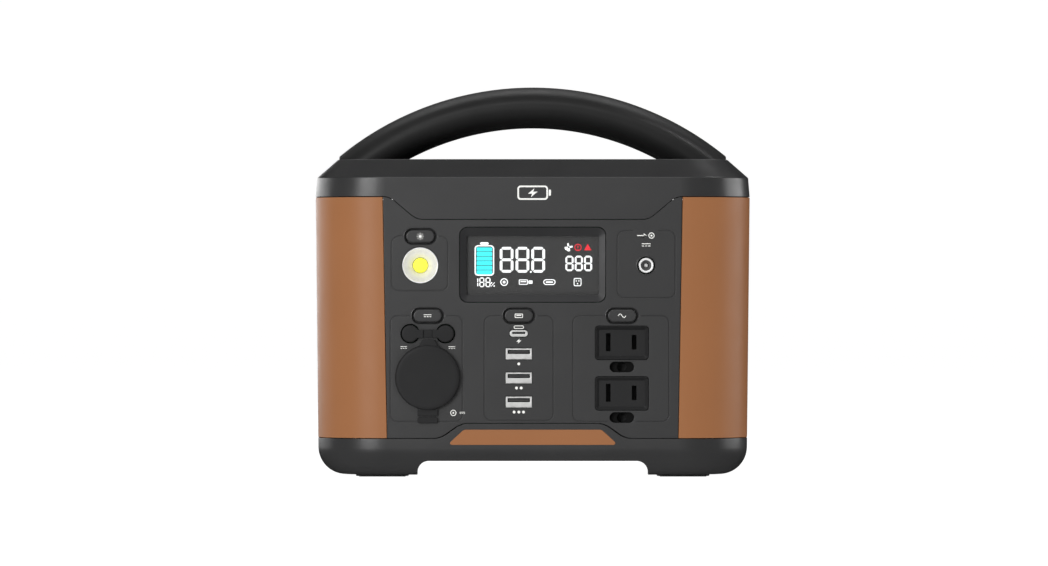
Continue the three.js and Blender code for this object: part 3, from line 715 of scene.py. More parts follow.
def port_holes():
    """Every opening in the front panel, as an outline."""
    holes = []
    low, high, mid = extent("display_frame")
    holes.append(rounded_rect(high.x - low.x + 0.6, high.z - low.z + 0.6, 4.2, mid.x, mid.z, 10))
    for name in KEYS:
        mid = middle(f"{name}_button")
        holes.append(pill(WELL[0] + 1.5, WELL[1] + 1.5, mid.x, mid.z))
    for node, grow in (("lamp_reflector", 0.25), ("input_jack", 0.9), ("vehicle_socket_barrel", 0.3),
                       ("dc_jack_left", 0.75), ("dc_jack_right", 0.75)):
        low, high = span(node)
        holes.append(circle((high.x - low.x) / 2 + grow, (low.x + high.x) / 2, (low.z + high.z) / 2))
    mid = middle("usb_c_port")
    holes.append(pill(9.5, 3.8, mid.x, mid.z))
    for i in (1, 2, 3):
        mid = middle(f"usb_a_port_{i}")
        holes.append(rounded_rect(13.3, 5.9, 0.6, mid.x, mid.z, 4))
    for end in ("upper", "lower"):
        x, z = outlet_centre(end)
        holes.append(rounded_rect(26.4, 16.8, 1.8, x, z, 8))
        holes.append(pill(12.0, 5.2, x, z - 11.8))
    return holes


def outlet_centre(end):
    low, high = span(f"ac_outlet_{end}")
    return (low.x + high.x) / 2, high.z - 8.6


def make_front_panel():
    bm = bmesh.new()
    grooves = [ribbon(path, GROOVE) for path in groove_paths()]
    add_plate(bm, panel_outline(), port_holes() + grooves, PANEL_Y, PANEL_BACK, 0.14)
    for path in groove_paths():
        bed = PANEL_Y + GROOVE_DEPTH
        add_plate(bm, ribbon(path, GROOVE + 1.2), [], bed, bed + 1.2, 0.05, 0)
    for name in KEYS:
        mid = middle(f"{name}_button")
        add_funnel(bm, lambda grow, mid=mid: pill(WELL[0] + 2 * grow, WELL[1] + 2 * grow, mid.x, mid.z),
                   [(0.78, PANEL_Y + 0.06), (0.62, PANEL_Y + 0.02), (0.1, PANEL_Y + 0.62),
                    (0.0, PANEL_Y + 0.9), (0.0, PANEL_BACK), (0.78, PANEL_BACK)])
    low, high, mid = extent("input_jack")
    radius = (high.x - low.x) / 2
    add_funnel(bm, lambda grow: circle(radius + grow, mid.x, mid.z),
               [(0.95, PANEL_Y + 0.06), (0.8, PANEL_Y + 0.02), (0.35, PANEL_Y + 0.6), (0.28, PANEL_BACK)])
    skin("front_panel", bm, CHARCOAL, angle=30)


def make_rear_panel():
    low, high = REAR_LOW.z + 0.05, REAR_HIGH.z - 0.05
    corners = ((-1, low), (1, low), (1, high), (-1, high))
    outline = [(side * (panel_edge(z) - SEAM / 2), z) for side, z in corners]
    fan = middle("fan_frame")
    holes = []
    for x in (-fan.x, fan.x):
        for row in range(-3, 4):
            reach = 23.4 * math.sqrt(1 - (row / 4) ** 2)
            holes.append(pill(2 * reach, 3.2, x, fan.z + 6 * row, 10))
    plate("rear_panel_skin", outline, holes, REAR_LOW.y, REAR_HIGH.y, CHARCOAL, "dark_plastic", 0.3,
          replaced=["rear_panel"], angle=30)


# ---- handle

HANDLE_CENTRE_Z = 40.9
HANDLE_OUTER = span("handle_shell")[1].z - HANDLE_CENTRE_Z
HANDLE_BAND = 20.4
HANDLE_REACH = 96
HANDLE_MID = HANDLE_OUTER - HANDLE_BAND / 2
HANDLE_HALF = (span("handle_shell")[1].y - span("handle_shell")[0].y) / 2
HANDLE_FOOT = span("handle_shell")[0].z
LINER_HALF = 14


def squircle(v, power=2.3):
    """Half thickness of the handle's rounded section at a distance v from its middle."""
    return HANDLE_BAND / 2 * max(0.0, 1 - abs(v / HANDLE_HALF) ** power) ** (1 / power)


def handle_section(recess):
    """(radial, y) points round the section, with a shallow recess below for the liner."""
    steps = 40
    across = [-math.cos(math.pi * i / steps) * HANDLE_HALF for i in range(steps + 1)]
    top = [(squircle(v), v) for v in across]
    under = []
    for v in reversed(across[1:-1]):
        lift = recess if abs(v) < LINER_HALF + 0.5 else 0
        under.append((-squircle(v) + lift, v))
    return top + under


def sweep_handle(section_at, steps):
    """Sweeps a section along the arch. Both ends stop at the deck."""
    loops = []
    for i in range(steps + 1):
        t = 2 * i / steps - 1
        loop = []
        for radial, v in section_at(t):
            radius = HANDLE_MID + radial
            deck = math.acos((HANDLE_FOOT - HANDLE_CENTRE_Z) / radius)
            angle = t * min(deck, math.asin(HANDLE_REACH / radius))
            loop.append((radius * math.sin(angle), MIDDLE_Y + v, HANDLE_CENTRE_Z + radius * math.cos(angle)))
        loops.append(loop)
    return loops


def make_handle():
    bm = bmesh.new()
    add_loft(bm, sweep_handle(lambda t: handle_section(0.7), 120))
    piece("handle_skin", bm, HANDLE_BLACK, "dark_plastic", replaced=["handle_shell"], angle=50)

    across = [LINER_HALF * (2 * i / 16 - 1) for i in range(17)]
    liner = [(-squircle(v) + 0.05, v) for v in across] + [(-squircle(v) + 2.4, v) for v in reversed(across)]
    bm = bmesh.new()
    add_loft(bm, sweep_handle(lambda t: liner, 120))
    skin("handle_liner", bm, HANDLE_BLACK, angle=50)


# ---- feet and strip


def make_feet():
    for end in FEET:
        low, high, mid = extent(f"foot_{end}")
        bm = bmesh.new()
        profile = [(0, high.z), (0, 0.7), (-0.15, 0.4), (-0.5, 0.3), (-1.4, 0.3)]
        loops = [
            [(x, y, z) for x, y in
             rounded_rect(high.x - low.x + 2 * grow, high.y - low.y + 2 * grow, 3 + grow, mid.x, mid.y, 6)]
            for grow, z in profile
        ]
        add_loft(bm, loops)
        for i in range(-2, 3):
            rib = rounded_rect(high.x - low.x - 3.2, 1.3, 0.6, mid.x, mid.y + 2.2 * i, 4)
            add_loft(bm, layers(rib, (0.6, 0.0)))
        skin(f"foot_{end}", bm, RUBBER)


def make_strip():
    low, high = span("accent_strip")
    tip = (high.x - low.x) / 2
    top = tip - (high.z - low.z) * (41.9 - 33.8) / 7.5
    corners = [(-tip, low.z), (tip, low.z), (top, high.z), (-top, high.z)]
    radii = [0.9, 0.9, 3.2, 3.2]
    outline = []
    for i, (corner, radius) in enumerate(zip(corners, radii)):
        outline += fillet(corners[i - 1], corner, corners[(i + 1) % 4], radius, 6)
    plate("accent_strip_skin", outline, [], low.y, high.y, BROWN, "brown_plastic", 0.25,
          replaced=["accent_strip"])


# ---- display


def digit(x, z, width, height, stroke, lit="abcdefg"):
    """A seven-segment digit whose lower left corner is (x, z): one six-sided outline for each lit segment."""
    outlines = []
    ends = {
        "a": ((0, 1), (1, 1)), "b": ((1, 1), (1, 0.5)), "c": ((1, 0.5), (1, 0)), "d": ((0, 0), (1, 0)),
        "e": ((0, 0.5), (0, 0)), "f": ((0, 1), (0, 0.5)), "g": ((0, 0.5), (1, 0.5)),
    }
    for name in lit:
        (u0, w0), (u1, w1) = ends[name]
        start = Vector((x + u0 * width, z + w0 * height))
        end = Vector((x + u1 * width, z + w1 * height))
        run = (end - start).normalized()
        side = Vector((-run.y, run.x)) * stroke / 2
        a, b = start + run * stroke * 0.14, end - run * stroke * 0.14
        mid_a, mid_b = a + run * stroke / 2, b - run * stroke / 2
        outlines.append([tuple(p) for p in (a, mid_a - side, mid_b - side, b, mid_b + side, mid_a + side)])
    return outlines


def ring(radius, width, x, z, steps=40):
    return circle(radius, x, z, steps), circle(radius - width, x, z, steps)


def make_marks(name, outlines, holes, face, look, slot, body="station", thick=0.05):
    """Thin printed or lit shapes that lie on a surface facing the front."""
    bm = bmesh.new()
    add_plate(bm, outlines, holes, face - thick, face, 0.008, 0)
    return piece(name, bm, look, slot, body=body, weighted=False)


def make_display():
    low, high, mid = extent("display_frame")
    pane_low, pane_high = span("display_window")
    pane = (pane_low + pane_high) / 2
    width, height = pane_high.x - pane_low.x, pane_high.z - pane_low.z
    bm = bmesh.new()
    half_w, half_h = (high.x - low.x) / 2, (high.z - low.z) / 2

    def bezel(grow):
        """From the window's edge (grow 0) to the panel's opening (grow 1)."""
        w = width + 0.4 + (2 * half_w - width - 0.4) * grow
        h = height + 0.4 + (2 * half_h - height - 0.4) * grow
        x = pane.x + (mid.x - pane.x) * grow
        z = pane.z + (mid.z - pane.z) * grow
        return rounded_rect(w, h, 1.0 + 3.0 * grow, x, z, 10)

    slope = [(1.0, 0.5), (0.985, 0.36), (0.95, 0.34), (0.25, 1.0), (0.06, 1.05), (0.0, 1.15)]
    rows = [(1.0, PANEL_BACK)] + [(grow, PANEL_Y + sink) for grow, sink in slope] + [(0.0, PANEL_BACK)]
    add_funnel(bm, bezel, rows)
    # The bezel takes the darker charcoal copy, which is painted shade in the recess.
    skin("display_frame", bm, CHARCOAL_PAINTED_SHADE, angle=30)
    glass = rounded_rect(width, height, 0.9, pane.x, pane.z)
    plate("display_window_skin", glass, [], pane_low.y, pane_high.y, WINDOW, "display_glass", 0.12,
          replaced=["display_window"])
    lcd_low, lcd_high = span("lcd_module")
    lcd = rounded_rect(lcd_high.x - lcd_low.x, lcd_high.z - lcd_low.z, 0.6, pane.x, pane.z)
    plate("lcd_module_skin", lcd, [], lcd_low.y, lcd_high.y, LCD_GREY, "black_plastic",
          replaced=["lcd_module"])
    make_readout(pane.x, pane.z, lcd_low.y)


def make_readout(x, z, face):
    """The lit shapes, placed from the middle of the screen."""
    white, holes = [], []
    # battery gauge: an outlined can with a cap and six bars
    gx, gz = x - 23.7, z + 2.7
    white.append(rounded_rect(9.6, 15.0, 1.7, gx, gz - 0.3, 6))
    holes.append(rounded_rect(8.4, 13.8, 1.2, gx, gz - 0.3, 6))
    white.append(rounded_rect(4.2, 1.3, 0.55, gx, gz + 8.0, 4))
    bars = [rounded_rect(7.6, 1.95, 0.3, gx, gz - 6.1 + 2.24 * i, 4) for i in range(6)]
    # large reading, small reading and charge
    for i in range(3):
        white += digit(x - 15.5 + 7.75 * i, z - 2.9, 5.4, 11.3, 1.3)
    white.append(circle(0.5, x - 0.9, z - 3.2, 16))
    for i in range(3):
        white += digit(x + 16.5 + 4.55 * i, z - 2.4, 3.1, 6.7, 0.9)
        white += digit(x - 28.9 + 3.0 * i, z - 10.4, 1.95, 4.2, 0.55, "bc" if i == 0 else "abcdefg")
    white += [circle(0.4, x - 20.2, z - 8.6, 14), circle(0.4, x - 18.9, z - 10.1, 14)]
    white.append(bar(x - 20.5, z - 10.4, x - 18.6, z - 8.3, 0.3))
    # fan symbol
    for turn in range(4):
        t = math.radians(20 + 90 * turn)
        cx, cz = x + 17.6, z + 8.9
        blade = [(0.35, -0.5), (1.9, -0.75), (2.0, 0.1), (0.5, 0.35)]
        white.append([(cx + u * math.cos(t) - v * math.sin(t), cz + u * math.sin(t) + v * math.cos(t))
                      for u, v in blade])
    row = z - 8.2
    # round plug, flat plug, oval port and outlet, each an outline with its contacts
    outer, inner = ring(1.9, 0.5, x - 14.0, row)
    white += [outer, circle(0.7, x - 14.0, row, 20)]
    holes.append(inner)
    white.append(rounded_rect(4.4, 2.6, 0.4, x - 4.6, row, 4))
    holes.append(rounded_rect(3.6, 1.8, 0.2, x - 4.6, row, 4))
    white += [rounded_rect(2.8, 0.6, 0.1, x - 4.6, row + 0.25, 3),
              rounded_rect(2.0, 1.6, 0.2, x - 1.1, row, 3)]
    white.append(pill(6.0, 2.8, x + 8.2, row))
    holes.append(pill(5.1, 1.9, x + 8.2, row))
    white += [pill(3.6, 0.7, x + 8.2, row), rounded_rect(3.8, 4.0, 0.8, x + 22.0, row, 5)]
    holes.append(rounded_rect(3.0, 3.2, 0.5, x + 22.0, row, 5))
    for dx in (-0.65, 0.65):
        white.append(bar(x + 22.0 + dx, row + 0.1, x + 22.0 + dx, row + 1.1, 0.35))
    white.append(circle(0.35, x + 22.0, row - 0.8, 12))
    make_marks("readout_white", white, holes, face, LIT_WHITE, "display_glass")
    make_marks("readout_bars", bars, [], face, LIT_CYAN, "display_glass")
    outer, inner = ring(1.75, 0.4, x + 22.2, z + 8.8)
    red = [outer, bar(x + 22.2, z + 8.6, x + 22.2, z + 9.8, 0.45), circle(0.28, x + 22.2, z + 7.9, 12)]
    triangle = [(x + 25.2, z + 7.4), (x + 28.8, z + 7.4), (x + 27.0, z + 10.6)]
    make_marks("readout_red", red + [triangle], [inner], face, LIT_RED, "display_glass")


# ---- lamp and buttons


def make_lamp():
    low, high, mid = extent("lamp_reflector")
    rim = (high.x - low.x) / 2
    cup = [(3.85, 7.2), (3.85, 5.4), (4.6, 4.6), (5.8, 3.0), (6.9, 1.75), (7.5, 1.15), (7.9, 0.75),
           (8.05, 0.3), (8.2, 0.08), (8.4, 0), (rim - 0.1, 0.05), (rim, 0.2), (rim, 1.4),
           (4.7, 5.4), (4.7, 7.2)]
    profile = [(radius, low.y + sink) for radius, sink in cup]
    turned("lamp_reflector_skin", profile, mid, REFLECTOR, "reflector", 96, closed=True,
           replaced=["lamp_reflector"], angle=45)
    low, high = span("lamp_emitter")
    dome = [(0, low.y - 0.25), (2.0, low.y - 0.18), (3.2, low.y), (3.65, low.y + 0.5),
            (3.65, high.y), (0, high.y)]
    turned("lamp_emitter_skin", dome, mid, PHOSPHOR, "emitter", replaced=["lamp_emitter"])
    low, high = span("lamp_lens")
    radius = (high.x - low.x) / 2
    pane = [(0, low.y - 0.12), (4, low.y - 0.07), (radius - 0.4, low.y), (radius, low.y + 0.2),
            (radius, high.y), (0, high.y)]
    turned("lamp_lens_skin", pane, mid, LENS, "display_glass", 72, replaced=["lamp_lens"])


def lamp_icon(x, z):
    rays = []
    for i in range(8):
        c, s = math.cos(i * math.pi / 4), math.sin(i * math.pi / 4)
        rays.append(bar(x + 1.15 * c, z + 1.15 * s, x + 1.75 * c, z + 1.75 * s, 0.28))
    return [circle(0.75, x, z, 24)] + rays, []


def direct_current_icon(x, z, size=1.0):
    strokes = [(0, 0.5, 1.9)] + [(across, -0.45, 0.45) for across in (-1.35, 0, 1.35)]
    return [bar(x + size * (across - half), z + size * up, x + size * (across + half), z + size * up,
                0.34 * size) for across, up, half in strokes], []


def flat_port_icon(x, z):
    return ([rounded_rect(4.0, 2.1, 0.35, x, z, 4), rounded_rect(2.4, 0.5, 0.1, x, z + 0.2, 3)],
            [rounded_rect(3.3, 1.4, 0.15, x, z, 4)])


def wave_icon(x, z):
    path = [(x - 1.9 + 3.8 * i / 24, z + 0.85 * math.sin(2 * math.pi * i / 24)) for i in range(25)]
    return [ribbon(path, 0.38)], []


def make_buttons():
    icons = {"lamp": lamp_icon, "dc": direct_current_icon, "usb": flat_port_icon, "ac": wave_icon}
    for name, icon in icons.items():
        low, high, mid = extent(f"{name}_button")
        bm = bmesh.new()
        back = PANEL_BACK
        add_plate(bm, pill(WELL[0] - 0.9, WELL[1] - 0.9, mid.x, mid.z, 16), [], low.y, back + 0.6, 0.55, 4)
        add_plate(bm, pill(WELL[0] + 1.6, WELL[1] + 1.6, mid.x, mid.z, 12), [], back + 0.3, back + 1.3, 0.1)
        add_turned(bm, [(0, back + 1), (1.8, back + 1), (1.8, high.y), (0, high.y)], mid.x, mid.z, 24)
        skin(f"{name}_button", bm, CHARCOAL, body=f"{name}_key", angle=30)
        outlines, holes = icon(mid.x, mid.z)
        make_marks(f"{name}_icon", outlines, holes, low.y + 0.005, PRINT_WHITE, "reflector",
                   body=f"{name}_key")


# ---- sockets, jacks and covers


def make_vehicle_socket():
    low, high, mid = extent("vehicle_socket_barrel")
    y, end = low.y, high.y
    profile = [(10.65, end - 2), (10.65, y + 0.5), (10.9, y + 0.12), (11.2, y), (14.6, y), (15.0, y + 0.35),
               (15.0, y + 2.0), (12.6, y + 2.0), (12.6, end), (3.4, end), (3.4, end - 2)]
    turned("vehicle_socket_barrel_skin", profile, mid, NICKEL, "steel", 80, closed=True,
           replaced=["vehicle_socket_barrel"], angle=40)
    low, high = span("vehicle_socket_contact")
    button = [(0, low.y), (1.6, low.y + 0.1), (2.3, low.y + 0.5), (3.0, low.y + 1.2),
              (3.0, high.y), (0, high.y)]
    turned("vehicle_socket_contact_skin", button, mid, COPPER, "copper", 48,
           replaced=["vehicle_socket_contact"])


def smooth_tab(bm, outline, front, back, edge):
    add_plate(bm, outline, [], front, back, edge, 4)


def make_socket_cap():
    low, high = span("vehicle_socket_cap")
    hinge = next(j for j in frame["joints"] if j["name"] == "socket_lid_hinge")["pos_m"][2] / MM
    x, _, z = middle("vehicle_socket_barrel")
    radius = (high.x - low.x) / 2
    front, back = low.y, PANEL_Y - 0.3
    bm = bmesh.new()
    lid = [(0, front + 0.1), (radius - 5, front + 0.08), (radius - 2.6, front), (radius - 1.5, front + 0.06)]
    lid += [(radius - 1.3 + 1.3 * math.sin(math.radians(t)), front + 1.4 - 1.3 * math.cos(math.radians(t)))
            for t in (20, 40, 60, 80, 90)]
    lid += [(radius, back), (10.2, back), (10.2, back + 2.6), (9.9, back + 3.0), (8.7, back + 3.0),
            (8.4, back + 2.7), (8.4, back), (0, back)]
    add_turned(bm, lid, x, z, 96)
    foot = z + radius - 1.4
    finger = fillet((x - 3.9, foot + 1.2), (x - 2.6, high.z), (x + 3.6, high.z), 1.2, 8)
    finger += fillet((x - 2.6, high.z), (x + 3.6, high.z), (x + 4.9, foot + 1.2), 1.2, 8)
    finger += [(x + 4.7, foot + 1.4), (x + 6.6, foot), (x + 6.0, foot - 2), (x - 5.4, foot - 2),
               (x - 5.9, foot), (x - 3.9, foot + 1.4)]
    smooth_tab(bm, finger[::-1], front + 0.8, back, 0.5)
    rim = z - radius
    strap = [(x + 4.9, rim + 4), (x - 4.9, rim + 4), (x - 4.9, hinge + 0.3), (x + 4.9, hinge + 0.3)]
    smooth_tab(bm, strap, back - 1.3, back, 0.2)
    root = [(x + 6.6, rim + 3.5), (x - 6.6, rim + 3.5)]
    root += fillet((x - 6.6, rim + 3.5), (x - 4.9, rim + 1.0), (x - 4.4, rim - 0.6), 1.0, 4)
    root += fillet((x + 4.4, rim - 0.6), (x + 4.9, rim + 1.0), (x + 6.6, rim + 3.5), 1.0, 4)
    smooth_tab(bm, root, front + 0.9, back, 0.5)
    skin("vehicle_socket_cap", bm, RUBBER, body="socket_lid", angle=40)
    a_low, a_high = span("vehicle_socket_cap_anchor")
    anchor = rounded_rect(a_high.x - a_low.x, a_high.z - a_low.z, 0.8, x, (a_low.z + a_high.z) / 2, 5)
    plate("vehicle_socket_cap_anchor_skin", anchor, [], a_low.y, a_high.y, RUBBER, "soft_rubber", 0.25,
          replaced=["vehicle_socket_cap_anchor"])


def make_jacks():
    for name in ("dc_jack_left", "dc_jack_right", "input_jack"):
        low, high, mid = extent(name)
        plain = name != "input_jack"
        bore, trim, sink = (3.1, 0, 2.6) if plain else (2.55, 0.35, 0.8)
        radius = (high.x - low.x) / 2 - trim
        front, back = low.y, high.y
        sleeve = [(0, back - 1.5), (bore, back - 1.5), (bore, front + 0.35), (bore + 0.15, front + 0.08),
                  (bore + 0.35, front), (radius - 0.25, front), (radius, front + 0.25),
                  (radius, back), (0, back)]
        look, slot = (BLACK, "black_plastic") if plain else (CHROME, "steel")
        turned(f"{name}_skin", sleeve, mid, look, slot, replaced=[name])
        front, back = low.y + sink, high.y - 1
        pin = [(0, front), (0.6, front), (0.95, front + 0.35), (1.05, front + 0.7), (1.05, back), (0, back)]
        turned(f"{name}_pin", pin, mid, NICKEL, "steel", 32)
    low, high, mid = extent("input_jack")
    profile = [(1.3, low.y + 1.2), (1.7, low.y + 0.9), (2.5, low.y + 0.9), (2.5, low.y + 6), (1.3, low.y + 6)]
    turned("input_jack_insulator", profile, mid, LCD_GREY, "black_plastic", 48, closed=True)


def make_jack_covers():
    low, high, mid = extent("dc_cover_bridge")
    bridge = rounded_rect(high.x - low.x + 0.3, high.z - low.z, 0.1, mid.x, mid.z)
    plate("dc_cover_bridge_skin", bridge, [], low.y, high.y, RUBBER, "soft_rubber", 0.04,
          replaced=["dc_cover_bridge"])
    for name in ("left", "right"):
        low, high = span(f"dc_cover_{name}")
        jack = middle(f"dc_jack_{name}")
        near = high.x if name == "left" else low.x
        back = PANEL_Y - 0.3
        bm = bmesh.new()
        lid = [(0, low.y + 0.05), (3.2, low.y), (3.8, low.y + 0.06), (4.1, low.y + 0.25), (4.2, low.y + 0.45),
               (4.2, back), (2.6, back), (2.6, back + 0.8), (2.3, back + 1.0), (0, back + 1.0)]
        add_turned(bm, lid, jack.x, jack.z, 64)
        inner = jack.x + (2.6 if name == "left" else -2.6)
        strap = [(min(inner, near), jack.z - 2), (max(inner, near), jack.z - 2),
                 (max(inner, near), jack.z + 2), (min(inner, near), jack.z + 2)]
        add_plate(bm, strap, [], low.y + 0.02, back, 0.04, 1)
        skin(f"dc_cover_{name}", bm, RUBBER, body=f"dc_lid_{name}", angle=40)


# ---- flat ports and outlets


def notched(width, height, x, z, notch, places):
    """A rectangle with shallow notches in its top and bottom edges at those places."""
    w, h = width / 2, height / 2
    low, high = [(x - w, z - h)], []
    for place in places:
        low += [(x + place - notch, z - h), (x + place - notch * 0.7, z - h + 0.35),
                (x + place + notch * 0.7, z - h + 0.35), (x + place + notch, z - h)]
        high = [(x + place + notch * 0.8, z + h), (x + place + notch * 0.5, z + h - 0.25),
                (x + place - notch * 0.5, z + h - 0.25), (x + place - notch * 0.8, z + h)] + high
    return low + [(x + w, z - h), (x + w, z + h)] + high + [(x - w, z + h)]


def make_usb_ports():
    for node in ("usb_c_port", "usb_a_port_1", "usb_a_port_2", "usb_a_port_3"):
        low, high, mid = extent(node)
        small = node == "usb_c_port"
        width, height = high.x - low.x, high.z - low.z
        if small:
            rim, slot = pill(width, height, mid.x, mid.z), pill(6.6, 1.0, mid.x, mid.z + 0.3)
            tongue = rounded_rect(5.6, 0.35, 0.1, mid.x, mid.z + 0.3, 3)
        else:
            rim = notched(width, height, mid.x, mid.z, 1.15, (-2.7, 2.7))
            slot = rounded_rect(10.9, 1.95, 0.25, mid.x, mid.z + 0.95, 4)
            tongue = rounded_rect(10.0, 0.6, 0.15, mid.x, mid.z + 0.95, 3)
        bm = bmesh.new()
        add_plate(bm, rim, [slot], low.y, low.y + 0.6, 0.12)
        walls = [[(x, y, z) for x, z in slot] for y in (low.y + 0.5, high.y - 0.6)]
        add_loft(bm, walls, caps=False)
        outer = pill(width - 0.1, height - 0.1, mid.x, mid.z) if small else rounded_rect(
            width - 0.1, height - 0.1, 0.4, mid.x, mid.z, 4)
        add_loft(bm, [[(x, y, z) for x, z in outer] for y in (low.y + 0.4, high.y)])
        piece(f"{node}_shell", bm, NICKEL, "steel", replaced=[node])
        # A thin near-black sheet just inside the slot: painted shade standing in for the slot's depth.
        plate(f"{node}_painted_slot_shade", slot, [], low.y + 0.32, low.y + 0.38, PAINTED_SHADE_BLACK, "black_plastic", 0.01, 0)
        plate(f"{node}_tongue", tongue, [], low.y + 0.18, low.y + 0.6, LCD_GREY, "black_plastic", 0.08)


def make_outlets():
    for end in ("upper", "lower"):
        node = f"ac_outlet_{end}"
        low, high = span(node)
        x, z = outlet_centre(end)
        front = PANEL_Y

        def face(grow):
            return rounded_rect(26.0 + 2 * grow, 16.4 + 2 * grow, max(0.5, 1.7 + grow), x, z, 8)

        bm = bmesh.new()
        add_funnel(bm, face, [(0, PANEL_BACK + 0.4), (0, front + 0.4), (-0.12, front + 0.22),
                              (-0.35, front + 0.2), (-1.7, front + 1.25), (-1.9, front + 1.35)])
        slots = [rounded_rect(2.2, 8.8, 0.2, x - 0.3 - 6.35, z + 0.3, 3),
                 rounded_rect(2.25, 7.1, 0.2, x - 0.3 + 6.35, z + 0.3, 3)]
        add_plate(bm, rounded_rect(24.2, 14.6, 0.6, x, z, 6), slots, front + 1.33, front + 9.0, 0.1)
        add_box(bm, low.x, high.x, front + 9.2, high.y, low.z, high.z)
        piece(f"{node}_skin", bm, BLACK, "black_plastic", replaced=[node], angle=30)
        # The ground pin's pocket is a real pocket, coloured with painted shade that is darker than the outlet's
        # own black plastic.
        block = [(low.x, low.z), (high.x, low.z), (high.x, z - 8.7), (low.x, z - 8.7)]
        plate(f"{node}_ground", block, [circle(2.4, x, z - 11.8, 40)], PANEL_BACK + 0.3, front + 9.0,
              PAINTED_SHADE_BLACK, "black_plastic", 0.1)


# ---- printed marks


def make_prints():
    """Neutral marks where the object carries words: a battery sign, port signs and counting dots."""
    outlines, holes = [], []
    # battery sign on the brow
    sign = 139.6
    marks = [rounded_rect(15.0, 7.0, 1.6, 0, sign, 6), rounded_rect(1.1, 3.0, 0.4, 8.4, sign, 3)]
    bolt = [(0.9, 2.2), (-2.3, -0.5), (-0.25, -0.5), (-0.9, -2.2), (2.3, 0.5), (0.25, 0.5)]
    marks.append([(px, sign + pz) for px, pz in bolt])
    hollow = rounded_rect(13.4, 5.4, 0.9, 0, sign, 6)
    make_marks("brow_sign", marks, [hollow], FRONT_Y, PRINT_WHITE, "reflector")

    # charging input: an arrow into a round plug, over the direct current sign
    jack = middle("input_jack")
    top = jack.z + 14.6
    outer, inner = ring(1.5, 0.4, jack.x + 2.6, top)
    outlines += [outer, circle(0.5, jack.x + 2.6, top, 16), bar(jack.x - 4.4, top, jack.x - 1.0, top, 0.5)]
    holes.append(inner)
    outlines.append([(jack.x - 1.2, top + 1.1), (jack.x - 1.2, top - 1.1), (jack.x + 0.5, top)])
    outlines += direct_current_icon(jack.x, top - 4.6, 1.15)[0]
    # barrel jacks and vehicle socket
    for name, aside in (("left", -3.2), ("right", 3.2)):
        jack = middle(f"dc_jack_{name}")
        outlines += direct_current_icon(jack.x + aside, jack.z - 6.8, 0.85)[0]
    socket = middle("vehicle_socket_barrel")
    x, z = socket.x + 12.6, socket.z - 17.4
    outer, inner = ring(1.5, 0.35, x, z)
    outlines += [outer, circle(0.45, x, z, 16)]
    holes.append(inner)
    outlines += direct_current_icon(x + 4.4, z, 0.7)[0]
    # flat ports: an oval for the small one, then one, two and three dots
    port = middle("usb_c_port")
    outlines.append(pill(5.0, 1.6, port.x, port.z + 3.1))
    holes.append(pill(4.3, 0.95, port.x, port.z + 3.1))
    outlines.append([(port.x + px * 0.55, port.z - 3.7 + pz * 0.55) for px, pz in bolt])
    for i in (1, 2, 3):
        port = middle(f"usb_a_port_{i}")
        for j in range(i):
            outlines.append(circle(0.7, port.x + 2.3 * (j - (i - 1) / 2), port.z - 4.9, 20))
    make_marks("panel_signs", outlines, holes, PANEL_Y, PRINT_WHITE, "reflector")


# ---- fan and other inner pieces


def make_fan():
    low, high, mid = extent("fan_frame")
    size = high.x - low.x
    bm = bmesh.new()
    corner_holes = [circle(2.1, mid.x + dx * 20, mid.z + dz * 20, 24) for dx in (-1, 1) for dz in (-1, 1)]
    for front, back in ((low.y, low.y + 2.4), (high.y - 2.4, high.y)):
        add_plate(bm, rounded_rect(size, size, 4, mid.x, mid.z), [circle(23.4, mid.x, mid.z)] + corner_holes,
                  front, back, 0.3)
    tube = [(23.4, low.y + 1), (24.2, low.y + 1), (24.2, high.y - 1), (23.4, high.y - 1)]
    add_turned(bm, tube, mid.x, mid.z, 72, closed=True)
    motor = [(0, low.y), (8.6, low.y), (9.0, low.y + 0.3), (9.0, low.y + 2), (0, low.y + 2)]
    add_turned(bm, motor, mid.x, mid.z, 48)
    for i in range(4):
        t = math.radians(20 + 90 * i)
        strut = bar(mid.x + 8 * math.cos(t), mid.z + 8 * math.sin(t), mid.x + 23.8 * math.cos(t + 0.25),
                    mid.z + 23.8 * math.sin(t + 0.25), 2.4)
        add_plate(bm, strut, [], low.y + 0.2, low.y + 2, 0.2)
    skin("fan_frame", bm, BLACK, angle=35)

    low, high = span("fan_rotor")
    bm = bmesh.new()
    hub = 9.0
    add_turned(bm, [(0, low.y + 0.3), (hub - 0.8, low.y + 0.3), (hub, low.y + 0.9), (hub, high.y - 1.0),
                    (hub - 0.9, high.y), (0, high.y)], mid.x, mid.z, 60)
    steps = 10
    for blade in range(7):
        loops = []
        for i in range(steps + 1):
            radius = hub - 0.8 + (22.4 - hub + 0.8) * i / steps
            sweep = 2 * math.pi * blade / 7 + 0.35 * (i / steps) ** 1.4
            pitch = 0.95 - 0.35 * i / steps
            chord = 8.0 + 3.4 * i / steps
            loop = []
            for u, thick in ((-0.5, 0.15), (-0.2, 0.45), (0.15, 0.5), (0.5, 0.15), (0.5, -0.15), (0.15, -0.4),
                             (-0.2, -0.35), (-0.5, -0.15)):
                along = u * chord
                camber = 1.1 * (0.25 - u * u)
                across = along * math.cos(pitch) + (thick + camber) * math.sin(pitch)
                depth = -along * math.sin(pitch) * 0.9 + (thick + camber) * math.cos(pitch)
                angle = sweep + across / max(radius, 6)
                y = min(max((low.y + high.y) / 2 + depth, low.y + 0.05), high.y - 0.05)
                loop.append((mid.x + radius * math.cos(angle), y, mid.z + radius * math.sin(angle)))
            loops.append(loop)
        add_loft(bm, loops)
    skin("fan_rotor", bm, BLACK, body="fan_wheel", angle=45)


